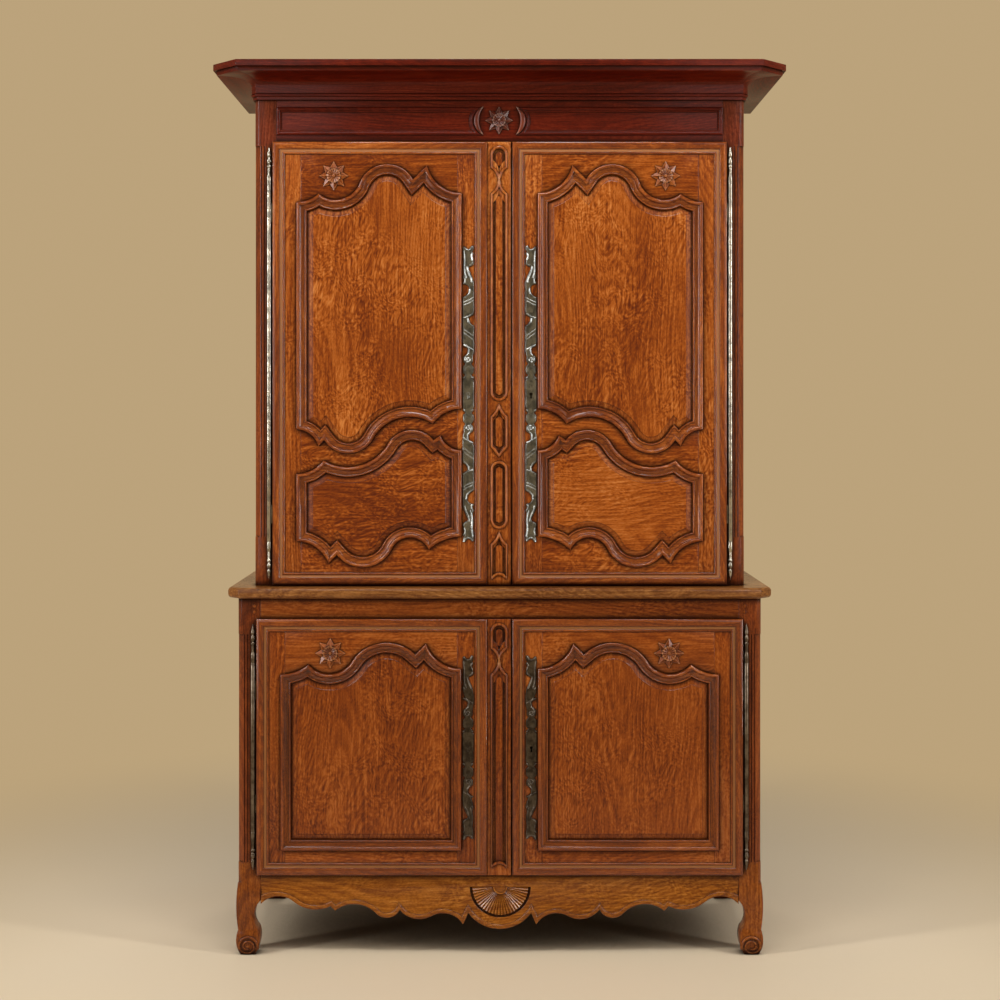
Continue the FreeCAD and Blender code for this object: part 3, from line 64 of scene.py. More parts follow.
bpy.ops.object.camera_add(location=viewpoint["place"], rotation=(math.pi / 2, 0, 0))
camera = bpy.context.object
camera.data.lens = viewpoint["lens"]
camera.data.shift_y = viewpoint["shift"]
bpy.context.scene.camera = camera
bpy.context.scene.view_settings.view_transform = "Standard"


# Shader maths
class Sock:                                     # one output socket, with arithmetic
    def __init__(self, paint, output):
        self.paint, self.output = paint, output

    def math(self, operation, *others):
        values = dict(enumerate((self,) + others))
        return self.paint.add("ShaderNodeMath", {"operation": operation}, values)

    def __add__(self, other):
        return self.math("ADD", other)

    def __mul__(self, other):
        return self.math("MULTIPLY", other)

    __radd__, __rmul__ = __add__, __mul__

    def __sub__(self, other):
        return self.math("SUBTRACT", other)

    def __rsub__(self, other):
        return self.paint.add("ShaderNodeMath", {"operation": "SUBTRACT"}, {0: other, 1: self})

    def between(self, low, high):               # a soft step from 0 at low to 1 at high
        return self.paint.add("ShaderNodeMapRange", {"interpolation_type": "SMOOTHSTEP"},
                              {0: self, 1: low, 2: high})


class Paint:                                    # the nodes of one material, or of the world
    def __init__(self, owner, **constants):
        owner.use_nodes = True
        self.owner = owner
        self.nodes, self.links = owner.node_tree.nodes, owner.node_tree.links
        self.shader = self.nodes.get("Principled BSDF") or self.nodes["Background"]
        self.connect(**constants)

    def add(self, kind, settings=None, values=None, out=0):
        node = self.nodes.new(kind)
        for key, value in (settings or {}).items():
            if key == "stops":
                self.setStops(node.color_ramp, value)
            else:
                setattr(node, key, value)
        for key, value in (values or {}).items():
            self.feed(node.inputs[key], value)
        return Sock(self, node.outputs[out])

    def setStops(self, ramp, stops):
        while len(ramp.elements) < len(stops):
            ramp.elements.new(0.5)
        for element, (position, colour) in zip(ramp.elements, stops):
            element.position = position
            element.color = (*colour, 1.0)

    def feed(self, socket, value):
        if isinstance(value, Sock):
            self.links.new(value.output, socket)
        elif socket.type == "RGBA":             # colours are written without an alpha
            socket.default_value = (*value, 1.0)
        else:
            socket.default_value = value

    def connect(self, **sockets):
        for name, value in sockets.items():
            self.feed(self.shader.inputs[name.replace("_", " ")], value)

    def place(self):
        return self.add("ShaderNodeTexCoord", None, None, out="Object")

    def noise(self, place, scale, detail=2.0, roughness=0.5):
        return self.add("ShaderNodeTexNoise", None,
                        {"Vector": place, "Scale": scale, "Detail": detail, "Roughness": roughness})

    def stretched(self, place, factors):
        return self.add("ShaderNodeVectorMath", {"operation": "MULTIPLY"}, {0: place, 1: factors})

    def moved(self, place, offset):             # offset has a value for each axis that moves
        shift = self.add("ShaderNodeCombineXYZ", None, offset)
        return self.add("ShaderNodeVectorMath", {"operation": "ADD"}, {0: place, 1: shift})

    def ramp(self, factor, stops):
        return self.add("ShaderNodeValToRGB", {"stops": stops}, {0: factor})

    def mix(self, factor, first, second):
        return self.add("ShaderNodeMix", {"data_type": "RGBA"}, {0: factor, 6: first, 7: second}, out=2)

    def bump(self, height, strength, distance):
        return self.add("ShaderNodeBump", None,
                        {"Height": height, "Strength": strength, "Distance": distance})

    def hidden(self, reach, settings):
        return 1 - self.add("ShaderNodeAmbientOcclusion", settings, {"Distance": reach}, out="AO")

    def crevice(self, reach, samples=6):        # 0 in the open, 1 deep in a quirk
        return self.hidden(reach, {"samples": samples})

    def crest(self, reach, samples=6):          # 0 on a flat, up to 0.5 on an arris
        return self.hidden(reach, {"samples": samples, "inside": True, "only_local": True})

    def show(self, factor, other):              # mixes another shader over its own, into the output
        own = Sock(self, self.shader.outputs[0])
        both = self.add("ShaderNodeMixShader", None, {0: factor, 1: own, 2: other})
        output = self.nodes.get("Material Output") or self.nodes["World Output"]
        self.links.new(both.output, output.inputs["Surface"])


# Oak. The grain attribute of a piece holds each board's own along, across and depth, in metres. A scale
# is how often a figure comes round in a metre of each
oakScale = {"sway": (2.2, 6.0, 6.0), "ring": (0.6, 3.4, 3.4), "streak": (7.0, 230.0, 230.0),
            "fleck": (130.0, 420.0, 420.0), "pore": (30.0, 800.0, 800.0), "bend": (9.0, 12.0, 12.0),
            "ray": (95.0, 150.0, 150.0), "patch": (4.0, 6.0, 6.0), "cloud": (2.0, 5.0, 5.0)}
oakDepth = {"streak": 0.8, "fleck": 0.5, "tone": 0.1}           # how far each darkens or lightens
oakRelief = {"streak": 0.35, "pore": 0.8, "ray": 0.3, "strength": 0.25, "distance": 0.0006}
stainAt = (0.12, 0.36, 0.5, 0.64, 0.88)         # where the five stains of a look lie, dark to light
crownFade = (-0.012, 0.004)                     # where a second stain begins and is full


def oak(name, look):
    paint = Paint(bpy.data.materials.new(name), Specular_IOR_Level=look["gloss"],
                  Coat_Roughness=look["buff"], Coat_IOR=look["shine"])

    def grown(kind, place, detail, roughness=0.5):
        return paint.noise(paint.stretched(place, oakScale[kind]), 1.0, detail, roughness)

    def stained(stains):
        return paint.ramp(depth, list(zip(stainAt, stains)))

    grain = paint.add("ShaderNodeAttribute", {"attribute_name": "grain"}, out="Vector")
    tone = paint.add("ShaderNodeAttribute", {"attribute_name": "tone"}, out="Fac")
    sway = grown("sway", grain, 2.0)
    swayed = paint.moved(grain, {1: sway * 0.05, 2: sway * 0.03})
    # growth rings as level lines of a long soft field
    ring = (grown("ring", swayed, 1.0) * look["rings"]).math("FRACT")
    ring = ring.between(0.0, 0.75) * (1 - ring.between(0.75, 1.0))
    # long streaks and pores
    streak = grown("streak", swayed, 3.0, 0.62)
    fleck = grown("fleck", grain, 2.0, 0.6)
    pore = grown("pore", swayed, 2.0, 0.6).between(0.55, 0.75)
    # wavy ray figure where the board is cut on the quarter
    bend = grown("bend", grain, 1.0)
    bent = paint.moved(paint.stretched(grain, oakScale["ray"]), {0: bend * 16.0, 1: bend * 10.0})
    patch = grown("patch", grain, 1.0).between(0.34, 0.62)
    ray = (paint.noise(bent, 1.0, 1.0) - 0.5) * (patch * 0.8 + 0.2)
    cloud = grown("cloud", grain, 3.0, 0.55)
    depth = (0.5 + (streak - 0.5) * oakDepth["streak"] + (fleck - 0.5) * oakDepth["fleck"]
             + ray * look["ray"] + (cloud - 0.5) * look["cloud"]
             + (ring - 0.45) * look["ringDepth"] + tone * oakDepth["tone"])
    colour = stained(look["stains"])
    if "crown" in look:                         # above this height it has a second stain
        level = paint.add("ShaderNodeSeparateXYZ", None, {0: paint.place()}, out="Z")
        begin, full = (look["crown"] + fade for fade in crownFade)
        colour = paint.mix(level.between(begin, full), colour, stained(look["crownStains"]))
    colour = paint.mix(pore * look["pore"], colour, look["poreColour"])
    # dark wax in the quirks, and painted shade in quirks, hollows and beside raised carving
    crease_dirt_and_shade = (paint.crevice(look["reach"]) * look["gain"]).between(0.14, 0.9) * look["wax"]
    colour = paint.mix(crease_dirt_and_shade, colour, look["waxColour"])
    if "worn" in look:                          # arrises rubbed pale, with a painted highlight along them
        worn = paint.crest(look["crest"]).between(0.12, 0.5) * look["worn"]
        colour = paint.mix(worn, colour, look["wornColour"])
    rough = 0.4 + streak * 0.14 + crease_dirt_and_shade * 0.2
    height = streak * oakRelief["streak"] - pore * oakRelief["pore"] + ray * oakRelief["ray"]
    paint.connect(Base_Color=colour, Roughness=rough, Coat_Weight=(1 - crease_dirt_and_shade * 0.8) * look["coat"],
                  Normal=paint.bump(height, oakRelief["strength"], oakRelief["distance"]))
    return paint.owner


oakDoor = {"gloss": 0.03, "rings": 60.0, "ringDepth": 0.13, "ray": 1.05, "cloud": 0.8, "pore": 0.55,
           "reach": 0.02, "gain": 2.3, "wax": 0.94, "coat": 0.7, "shine": 1.5, "buff": 0.2,
           "poreColour": (0.04, 0.006, 0.001), "waxColour": (0.016, 0.004, 0.0015),
           "stains": [(0.10, 0.013, 0.001), (0.19, 0.032, 0.0015), (0.285, 0.06, 0.004),
                      (0.39, 0.095, 0.010), (0.55, 0.18, 0.036)]}
oakBase = {**oakDoor, "ray": 0.9,
           "stains": [(0.07, 0.009, 0.0008), (0.14, 0.022, 0.001), (0.205, 0.038, 0.002),
                      (0.28, 0.06, 0.0045), (0.4, 0.11, 0.016)]}
oakPost = {**oakDoor, "ray": 0.5,
           "stains": [(0.06, 0.008, 0.001), (0.115, 0.017, 0.0015), (0.17, 0.029, 0.003),
                      (0.23, 0.044, 0.005), (0.33, 0.08, 0.014)]}
oakTop = {**oakDoor, "ray": 0.7,
          "stains": [(0.09, 0.025, 0.004), (0.16, 0.05, 0.009), (0.23, 0.083, 0.017),
                     (0.31, 0.12, 0.028), (0.44, 0.2, 0.055)]}
oakApron = {**oakDoor, "ray": 0.7,
            "stains": [(0.1, 0.021, 0.001), (0.18, 0.044, 0.002), (0.26, 0.073, 0.004),
                       (0.35, 0.112, 0.009), (0.5, 0.19, 0.026)]}
oakFan = {**oakApron, "reach": 0.005, "gain": 2.0, "wax": 0.8}
oakCase = {**oakDoor, "ray": 0.3, "coat": 0.36,
           "stains": [(0.03, 0.002, 0.0006), (0.06, 0.0035, 0.0008), (0.086, 0.0055, 0.0012),
                      (0.115, 0.009, 0.002), (0.17, 0.02, 0.005)]}
# mouldings and beads, rubbed bright: polished, with a painted highlight along their arrises
polished = {"coat": 0.9, "shine": 1.6, "buff": 0.11, "ray": 0.4, "gain": 2.5, "worn": 0.6,
            "crest": 0.0014, "wornColour": (0.55, 0.23, 0.085)}
carved = {**polished, "coat": 0.6, "buff": 0.27, "reach": 0.01, "gain": 2.8, "crest": 0.004}
baseMoulding = {**oakBase, **polished, "wornColour": (0.42, 0.17, 0.05)}
oakFrieze = {**oakCase, **carved, "wornColour": (0.3, 0.16, 0.11),
             "stains": [(0.04, 0.004, 0.001), (0.085, 0.009, 0.002), (0.125, 0.016, 0.004),
                        (0.17, 0.027, 0.008), (0.25, 0.055, 0.018)]}
# posts darken beside the frieze, and legs turn golden towards the feet
crownPost = {**oakPost, "crown": 2.226, "crownStains": oakFrieze["stains"]}
footPost = {**oakPost, "crown": 0.26, "crownStains": oakPost["stains"],
            "stains": [(0.07, 0.0115, 0.001), (0.135, 0.026, 0.0013), (0.2, 0.044, 0.0022),
                       (0.27, 0.067, 0.005), (0.39, 0.118, 0.014)]}
oakInside = {**oakDoor, "ray": 0.4, "gloss": 0.1, "coat": 0.1, "wax": 0.5,
             "poreColour": (0.06, 0.03, 0.012), "waxColour": (0.03, 0.015, 0.007),
             "stains": [(0.07, 0.034, 0.014), (0.12, 0.06, 0.024), (0.16, 0.085, 0.034),
                        (0.2, 0.11, 0.045), (0.28, 0.165, 0.072)]}


# Iron and steel
def metal(name, look):
    paint = Paint(bpy.data.materials.new(name), Metallic=1.0)
    place = paint.place()
    cloud = paint.noise(place, 60.0, 4.0, 0.6)
    scratch = paint.noise(paint.stretched(place, (900.0, 900.0, 60.0)), 1.0)
    # grime and painted shade, dark in crevices and beside the chased lines
    crease_dirt_and_shade = (paint.crevice(0.008) * 1.6).between(0.1, 0.9) * 0.9
    worn = (cloud * 0.75 + scratch * 0.25).between(0.36, 0.64)
    colour = paint.mix(worn, look["dull"], look["bright"])
    colour = paint.mix(crease_dirt_and_shade, colour, look["grime"])
    rough = look["rough"] + cloud * 0.2 - worn * 0.1 + crease_dirt_and_shade * 0.25
    paint.connect(Base_Color=colour, Roughness=rough,
                  Normal=paint.bump(cloud + scratch * 0.3, 0.2, 0.0008))
    return paint.owner


hingeSteel = {"dull": (0.2, 0.185, 0.16), "bright": (0.55, 0.52, 0.46),
              "grime": (0.02, 0.013, 0.008), "rough": 0.2}
plateSteel = {"dull": (0.09, 0.094, 0.09), "bright": (0.25, 0.255, 0.245),
              "grime": (0.012, 0.009, 0.006), "rough": 0.22}
plateIron = {"dull": (0.04, 0.032, 0.026), "bright": (0.11, 0.092, 0.075),
             "grime": (0.008, 0.005, 0.004), "rough": 0.26}
hingeIron = {"dull": (0.08, 0.06, 0.045), "bright": (0.2, 0.165, 0.13),
             "grime": (0.012, 0.008, 0.005), "rough": 0.26}

finishes = {"door": oak("oak_door", oakDoor),
            "base": oak("oak_base", oakBase),
            "case": oak("oak_case", oakCase),
            "crownPost": oak("oak_crown_post", crownPost),
            "foot": oak("oak_foot", footPost),
            "post": oak("oak_post", oakPost),
            "top": oak("oak_top", oakTop),
            "apron": oak("oak_apron", oakApron),
            "fan": oak("oak_fan", oakFan),
            "doorStar": oak("oak_door_star", {**oakDoor, **carved}),
            "frieze": oak("oak_frieze", oakFrieze),
            "baseStar": oak("oak_base_star", {**oakBase, **carved}),
            "doorMoulding": oak("oak_door_moulding", {**oakDoor, **polished}),
            "baseMoulding": oak("oak_base_moulding", baseMoulding),
            "inside": oak("oak_inside", oakInside),
            "hinge": metal("steel_hinge", hingeSteel),
            "plate": metal("steel_plate", plateSteel),
            "iron": metal("iron_plate", plateIron),
            "lowHinge": metal("iron_hinge", hingeIron)}
print("finishes made:", len(finishes))


# Boards of a mesh: which of its separate shells each point belongs to
def shells(mesh):
    parent = list(range(len(mesh.vertices)))

    def root(point):
        while parent[point] != point:
            parent[point] = parent[parent[point]]
            point = parent[point]
        return point

    for edge in mesh.edges:
        first, second = root(edge.vertices[0]), root(edge.vertices[1])
        if first != second:
            parent[first] = second
    roots = np.array([root(i) for i in range(len(parent))])
    return np.unique(roots, return_inverse=True)[1]


# How much lighter or darker some boards are than the rest of their finish
toneOf = {"upper_door_left_rails": -0.9, "upper_door_right_rails": -0.8,
          "upper_door_left_mouldings": -0.9, "upper_door_right_mouldings": -0.9,
          "upper_door_right_panels": 0.2, "base_door_right_panels": 0.5,
          "base_door_left_mouldings": -0.4, "base_door_right_mouldings": -0.4,
          "base_door_left_rails": 1.0, "base_door_right_rails": 0.8}
lowTone = {"upper_door_left_panels": -1.4}      # for a board that lies below lowLevel
lowLevel = 1.5
grainDraw = {"shift": 20, "tone": 0.4, "turned": 3.7}


# Gives each board its own run of grain along its length, or along each face of a mitred moulding
def setGrain(piece, seed, isMoulding=False):
    mesh = piece.data
    draw = random.Random(seed)
    points = np.array([v.co for v in mesh.vertices])
    shell = shells(mesh)
    corners = np.empty(len(mesh.loops), int)
    mesh.loops.foreach_get("vertex_index", corners)
    axis = np.zeros(len(mesh.loops), int)
    shift, tone = np.zeros((len(points), 3)), np.zeros(len(points))
    for board in range(shell.max() + 1):
        inside = shell == board
        span = points[inside].max(0) - points[inside].min(0)
        axis[inside[corners]] = int(span.argmax())
        shift[inside] = [draw.uniform(0, grainDraw["shift"]) for _ in range(3)]
        tone[inside] = toneOf.get(seed, 0) + draw.uniform(-grainDraw["tone"], grainDraw["tone"])
        if points[inside][:, 2].max() < lowLevel:
            tone[inside] += lowTone.get(seed, 0)
    if isMoulding:
        for face in mesh.polygons:
            edges = [mesh.vertices[b].co - mesh.vertices[a].co for a, b in face.edge_keys]
            run = max(edges, key=lambda edge: edge.length)
            isUpright = abs(run.z) > 2 * abs(run.x)
            axis[face.loop_start:face.loop_start + face.loop_total] = 2 if isUpright else 0
    order = np.array([(0, 2, 1), (1, 2, 0), (2, 0, 1)])
    grain = np.take_along_axis(points[corners], order[axis], 1) + shift[corners]
    grain = grain + axis[:, None] * grainDraw["turned"]
    mesh.attributes.new("grain", "FLOAT_VECTOR", "CORNER").data.foreach_set("vector", grain.ravel())
    mesh.attributes.new("tone", "FLOAT", "POINT").data.foreach_set("value", tone)


weld = 0.00002                                  # points closer than this are one
sides = (("left", -1), ("right", 1))


def alone(piece):                               # the only selected and active object
    bpy.ops.object.select_all(action="DESELECT")
    piece.select_set(True)
    bpy.context.view_layer.objects.active = piece


def edit():
    bpy.ops.object.mode_set(mode="EDIT")
    bpy.ops.mesh.select_all(action="SELECT")


def leaveEdit():
    bpy.ops.object.mode_set(mode="OBJECT")


def smooth(sharp):                              # edges sharper than this angle stay crisp
    bpy.ops.object.shade_smooth_by_angle(angle=math.radians(sharp))


def soften(piece, width, sharp):                # rounded arrises
    bevel = piece.modifiers.new("arris", "BEVEL")
    bevel.width, bevel.segments, bevel.use_clamp_overlap = width, 2, False
    bevel.limit_method, bevel.angle_limit = "ANGLE", math.radians(sharp)
    bpy.ops.object.modifier_apply(modifier="arris")
    smooth(sharp)


# Moves in edit mode: what is selected is extruded to the front, pushed back, or scaled
def pull(lift):
    bpy.ops.mesh.extrude_region_move(TRANSFORM_OT_translate={"value": (0, -lift, 0)})


def push(depth):
    bpy.ops.transform.translate(value=(0, depth, 0))


def narrow(factor, place):
    bpy.ops.transform.resize(value=(factor, 1, factor), center_override=place)


def flatten(factor, depth):
    bpy.ops.transform.resize(value=(1, factor, 1), center_override=(0, depth, 0))


def closeUp(distance=weld):                     # merges doubles and turns the faces outwards
    bpy.ops.mesh.remove_doubles(threshold=distance)
    bpy.ops.mesh.normals_make_consistent(inside=False)


# Carving. Outlines are drawn as a wire of points, then filled or rounded
def addPoint(place):                            # a new object, or in edit mode a new point of the same one
    bpy.ops.mesh.primitive_plane_add(size=0.002, location=(0, 0, 0))
    if bpy.context.mode == "OBJECT":
        edit()
    bpy.ops.mesh.merge(type="CENTER")
    bpy.ops.transform.translate(value=place)


def drawLine(points, isClosed):
    addPoint(points[0])
    for start, stop in zip(points, points[1:] + points[:isClosed]):
        step = tuple(b - a for a, b in zip(start, stop))
        bpy.ops.mesh.extrude_vertices_move(TRANSFORM_OT_translate={"value": step})


def drawWire(name, lines, isClosed=True):
    bpy.ops.object.select_all(action="DESELECT")
    for points in lines:
        drawLine(points, isClosed)
        bpy.ops.mesh.select_all(action="SELECT")
        bpy.ops.mesh.remove_doubles(threshold=weld)
        bpy.ops.mesh.select_all(action="DESELECT")
    bpy.ops.mesh.select_all(action="SELECT")
    bpy.context.object.name = name
    return bpy.context.object


def front(points, depth):                       # (x, z) points on a plane that faces the front
    return [(x, depth, z) for x, z in points]


def facesFront(piece):                          # turns a flat face to the front
    leaveEdit()
    isBack = piece.data.polygons[0].normal.y > 0
    edit()
    if isBack:
        bpy.ops.mesh.flip_normals()


def raiseFigure(name, points, depth, lift, profile=()):
    piece = drawWire(name, [front(points, depth)])
    bpy.ops.mesh.edge_face_add()
    facesFront(piece)
    pull(lift)
    for inset, rise in profile:
        bpy.ops.mesh.inset(thickness=inset, depth=rise, use_even_offset=True)
    leaveEdit()
    return piece


def roundWire(piece, radius, taper=None, resolution=3):     # a wire made into rounded beads
    leaveEdit()
    bpy.ops.object.convert(target="CURVE")
    line = bpy.context.object.data
    line.bevel_depth, line.bevel_resolution, line.use_fill_caps = radius, resolution, True
    if taper:
        for spline in line.splines:
            for i, point in enumerate(spline.points):
                point.radius = taper(i / (len(spline.points) - 1))
    bpy.ops.object.convert(target="MESH")
    bead = bpy.context.object
    edit()
    closeUp()
    leaveEdit()
    return bead


def joinAll(name, pieces):
    alone(pieces[0])
    for piece in pieces[1:]:
        piece.select_set(True)
    bpy.ops.object.join()
    pieces[0].name = name
    return pieces[0]


def setFinish(piece, finish, body, seed, isMoulding=False):
    piece.data.materials.clear()
    piece.data.materials.append(finishes[finish])
    setGrain(piece, seed, isMoulding)
    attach(piece, body)


def finishCarving(piece, finish, body, sharp=35):
    alone(piece)
    smooth(sharp)
    setFinish(piece, finish, body, piece.name)


def arc(start, stop, bulge, steps):             # points after start, bulging to the left of the way
    chord = Vector((stop[0] - start[0], stop[1] - start[1]))
    radius = (chord.length ** 2 / 4 + bulge ** 2) / (2 * bulge)
    side = Vector((-chord.y, chord.x)) / chord.length
    centre = Vector(start) + chord / 2 + side * (bulge - radius)
    turn = 4 * math.atan(2 * bulge / chord.length)
    arm = Vector(start) - centre
    points = []
    for i in range(1, steps + 1):
        angle = -turn * i / steps
        points.append((centre.x + arm.x * math.cos(angle) - arm.y * math.sin(angle),
                       centre.y + arm.x * math.sin(angle) + arm.y * math.cos(angle)))
    return points


def pick(piece, test):                          # selects the points that pass a test
    leaveEdit()
    mesh = piece.data
    mesh.polygons.foreach_set("select", [False] * len(mesh.polygons))
    mesh.edges.foreach_set("select", [False] * len(mesh.edges))
    mesh.vertices.foreach_set("select", [bool(test(vertex)) for vertex in mesh.vertices])
    bpy.ops.object.mode_set(mode="EDIT")


def disc(name, place, radius, count):           # a flat face to the front, its place in its mesh
    bpy.ops.object.select_all(action="DESELECT")
    bpy.ops.mesh.primitive_circle_add(vertices=count, radius=radius, fill_type="NGON", location=place,
                                      rotation=(math.pi / 2, 0, 0))
    bpy.ops.object.transform_apply(location=True, rotation=True, scale=True)
    piece = bpy.context.object
    piece.name = name
    edit()
    facesFront(piece)
    return piece


def cutAway(piece, cutter):                     # takes a cutter's shape out of a piece
    boolean = piece.modifiers.new("cut", "BOOLEAN")
    boolean.operation, boolean.solver, boolean.object = "DIFFERENCE", "FAST", cutter
    alone(piece)
    bpy.ops.object.modifier_apply(modifier="cut")
    bpy.data.objects.remove(cutter)


# Which board of a CAD mesh each face belongs to: a board ends where all of its edges have met
def boards(mesh):
    unmet, board, found = set(), 0, []
    for face in mesh.polygons:
        corners = [tuple(round(c, 5) for c in mesh.vertices[i].co) for i in face.vertices]
        for pair in zip(corners, corners[1:] + corners[:1]):
            unmet ^= {frozenset(pair)}
        found.append(board)
        board += not unmet
    return found


def closeBoards(piece):                         # merges the doubled points of each board by itself
    found = boards(piece.data)
    owner = piece.data.attributes.new("board", "INT", "POINT")
    for face, board in zip(piece.data.polygons, found):
        for i in face.vertices:
            owner.data[i].value = board
    for board in range(max(found) + 1):
        pick(piece, lambda vertex: piece.data.attributes["board"].data[vertex.index].value == board)
        bpy.ops.mesh.remove_doubles(threshold=weld)
    leaveEdit()
    piece.data.attributes.remove(piece.data.attributes["board"])


# A worked copy of a CAD node, with eased arrises. Angles are in degrees
coplanar = 0.6                                  # faces flatter than this to each other become one
fieldEdge = 6                                   # a panel's bevel meets its flat field at more than this


def dress(node, finish, ease=0.001, sharp=40, isMoulding=False, isPost=False, cutter=None,
          rounded=None):
    source = frame["nodes"][node]
    piece = bpy.data.objects.new(node + "_worked", source.data.copy())
    bpy.context.scene.collection.objects.link(piece)
    alone(piece)
    closeBoards(piece)
    edit()
    if not isPost:                              # a post's slotted faces are left in triangles
        bpy.ops.mesh.dissolve_limited(angle_limit=math.radians(coplanar))
    leaveEdit()
    if rounded:                                 # a raised band in front of a depth is made a round bead
        pick(piece, lambda vertex: vertex.co.y < rounded["front"])
        bpy.ops.mesh.bevel(offset=rounded["radius"], segments=3, affect="EDGES", clamp_overlap=False)
        leaveEdit()
    if cutter:
        cutAway(piece, cutter)
    soften(piece, ease, sharp)
    if "panels" in node:
        smooth(fieldEdge)
    setFinish(piece, finish, source["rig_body"], node, isMoulding)
    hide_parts(node)
    return piece


dressed = {
    "case": ("case", "oak_case", ["frieze_rail"]),
    "frontPosts": ("crownPost", "oak_case", ["upper_left_post", "upper_right_post"]),
    "upperPosts": ("post", "oak_case", ["upper_sill", "upper_side_rails", "upper_side_panels",
                                        "upper_back_posts"]),
    "top": ("top", "oak_base", ["base_top"]),
    "base": ("base", "oak_base", ["base_top_rail"]),
    "frontLegs": ("foot", "oak_base", ["base_left_leg", "base_right_leg"]),
    "legs": ("post", "oak_base", ["base_side_rails", "base_side_panels", "base_back_legs"]),
    "inside": ("inside", "oak_inside", ["base_back_boards", "upper_back_boards", "back_rails", "base_floor",
                                        "base_shelf", "roof_board", "shelf_battens", "upper_floor",
                                        "upper_shelves"]),
    "upperDoors": ("door", "oak_door", ["upper_door_left_stiles", "upper_door_left_rails",
                                        "upper_door_left_panels", "upper_door_right_stiles",
                                        "upper_door_right_rails", "upper_door_right_panels"]),
    "baseDoors": ("base", "oak_base", ["base_door_left_stiles", "base_door_left_rails",
                                       "base_door_left_panels", "base_door_right_stiles",
                                       "base_door_right_rails", "base_door_right_panels"])}
for finish, slot, names in dressed.values():
    for name in names:
        dress(name, finish, isPost=name.endswith(("post", "leg", "posts", "legs")))
    print("dressed in", slot, len(names))

fine = {"cornice": 0.0005, "moulding": 0.0004, "mouldingAngle": 50, "barrel": 0.0004, "knuckles": 0.0003,
        "lock": 0.0005, "ledge": 1.0}           # how far arrises are eased, and where the base ends
dress("cornice", "case", fine["cornice"])
for side, sign in sides:
    for level, finish, slot in (("upper", "doorMoulding", "oak_door"), ("base", "baseMoulding", "oak_base")):
        dress("%s_door_%s_mouldings" % (level, side), finish, fine["moulding"],
              fine["mouldingAngle"], True)
    dress("upper_door_%s_hinge_barrel" % side, "hinge", fine["barrel"])
    dress("base_door_%s_hinge_barrel" % side, "lowHinge", fine["barrel"])
knuckles = dress("hinge_knuckles", "hinge", fine["knuckles"])
knuckles.data.materials.append(finishes["lowHinge"])
for face in knuckles.data.polygons:             # the base's knuckles are the darker iron
    face.material_index = int(face.center.z < fine["ledge"])
for level in ("upper", "base"):
    for piece in ("lock_case", "lock_bolt", "latch_plate", "latch_rod"):
        dress("%s_door_%s" % (level, piece), "iron", fine["lock"])
print("mouldings and ironwork dressed")

# Mullions: each figure is sunk into the strip, with a bead round it and a raised strip inside. An end is
# round, a point with hollow sides, a vee, a waist where two figures cross, or a bite
mullion = {"middle": -0.0015, "half": 0.0205, "bead": 0.0043, "strip": 0.0095, "sunk": 0.0042, "wall": 0.003,
           "root": 0.0005, "shy": 0.0008, "clear": 0.01, "chamfer": [(0.003, 0.0011)], "bite": 0.012,
           "drop": {"round": 0.0205, "point": 0.034, "vee": 0.026, "waist": 0.043, "cross": 0.036,
                    "bite": 0.0},
           "bend": {"point": -0.0042, "vee": -0.0012, "waist": -0.0066, "cross": -0.0055},
           "inset": {"round": 0.003, "point": 0.012, "vee": 0.007, "waist": 0.024, "cross": 0.021,
                     "bite": 0.003},
           "inner": {"round": 0.0125, "point": 0.033, "vee": 0.024, "waist": 0.046, "cross": 0.04,
                     "bite": 0.017},
           "slope": {"round": 0.0055, "point": 0.005, "vee": 0.005, "waist": 0.005, "cross": 0.004,
                     "bite": -0.003},
           "upper": [("round", 2.2185, "cross", 2.127), ("waist", 2.131, "round", 1.5225),
                     ("point", 1.509, "vee", 1.367), ("round", 1.35, "round", 1.17),
                     ("point", 1.156, "bite", 1.03)],
           "base": [("round", 0.9085, "cross", 0.808), ("waist", 0.812, "bite", 0.245)]}


def figureEnd(kind, tip, half, sign):           # from the left corner to the right one, upwards for sign 1
    corner = tip - sign * mullion["drop"][kind]
    left, right, top = (-half, corner), (half, corner), (0, tip)
    if kind == "bite":
        return [left] + arc(left, right, -sign * mullion["bite"], 14)
    if kind == "round":
        bend = sign * half * (1 - math.sqrt(0.5))
    else:
        bend = sign * mullion["bend"][kind] * half / mullion["half"]
    return [left] + arc(left, top, bend, 7) + arc(top, right, bend, 7)


def stripEnd(kind, tip, half, sign):
    peak = tip - sign * mullion["inner"][kind]
    shoulder = peak - sign * mullion["slope"][kind]
    return [(-half, shoulder), (0, peak), (half, shoulder)]


def figure(endShape, half, inset, ends):        # a whole outline from its top and its bottom end
    topKind, top, lowKind, low = ends
    points = endShape(topKind, top - inset.get(topKind, 0), half, 1)
    points += endShape(lowKind, low + inset.get(lowKind, 0), half, -1)[::-1]
    return [(x + mullion["middle"], z) for x, z in points]


def carveMullion(level, depth, finish):
    beads, strips, hollows = [], [], []
    half, sunk = mullion["half"], mullion["sunk"]
    for ends in mullion[level]:
        edge = front(figure(figureEnd, half, {}, ends), depth)
        beads.append(roundWire(drawWire("bead", [edge]), mullion["bead"]))
        hollow = figure(figureEnd, half - mullion["wall"], mullion["inset"], ends)
        hollows.append(raiseFigure("hollow", hollow, depth + sunk, sunk + mullion["clear"]))
        strip = figure(stripEnd, mullion["strip"], {}, ends)
        strips.append(raiseFigure("strip", strip, depth + sunk + mullion["root"], sunk - mullion["shy"],
                                  mullion["chamfer"]))
    dress(level + "_door_mullion", finish, cutter=joinAll("hollows", hollows))
    body = level + "_left_door"
    finishCarving(joinAll(level + "_mullion_beads", beads), finish + "Moulding", body)
    finishCarving(joinAll(level + "_mullion_strips", strips), finish, body)


carveMullion("upper", -0.224, "door")
carveMullion("base", -0.259, "base")
print("mullions carved")

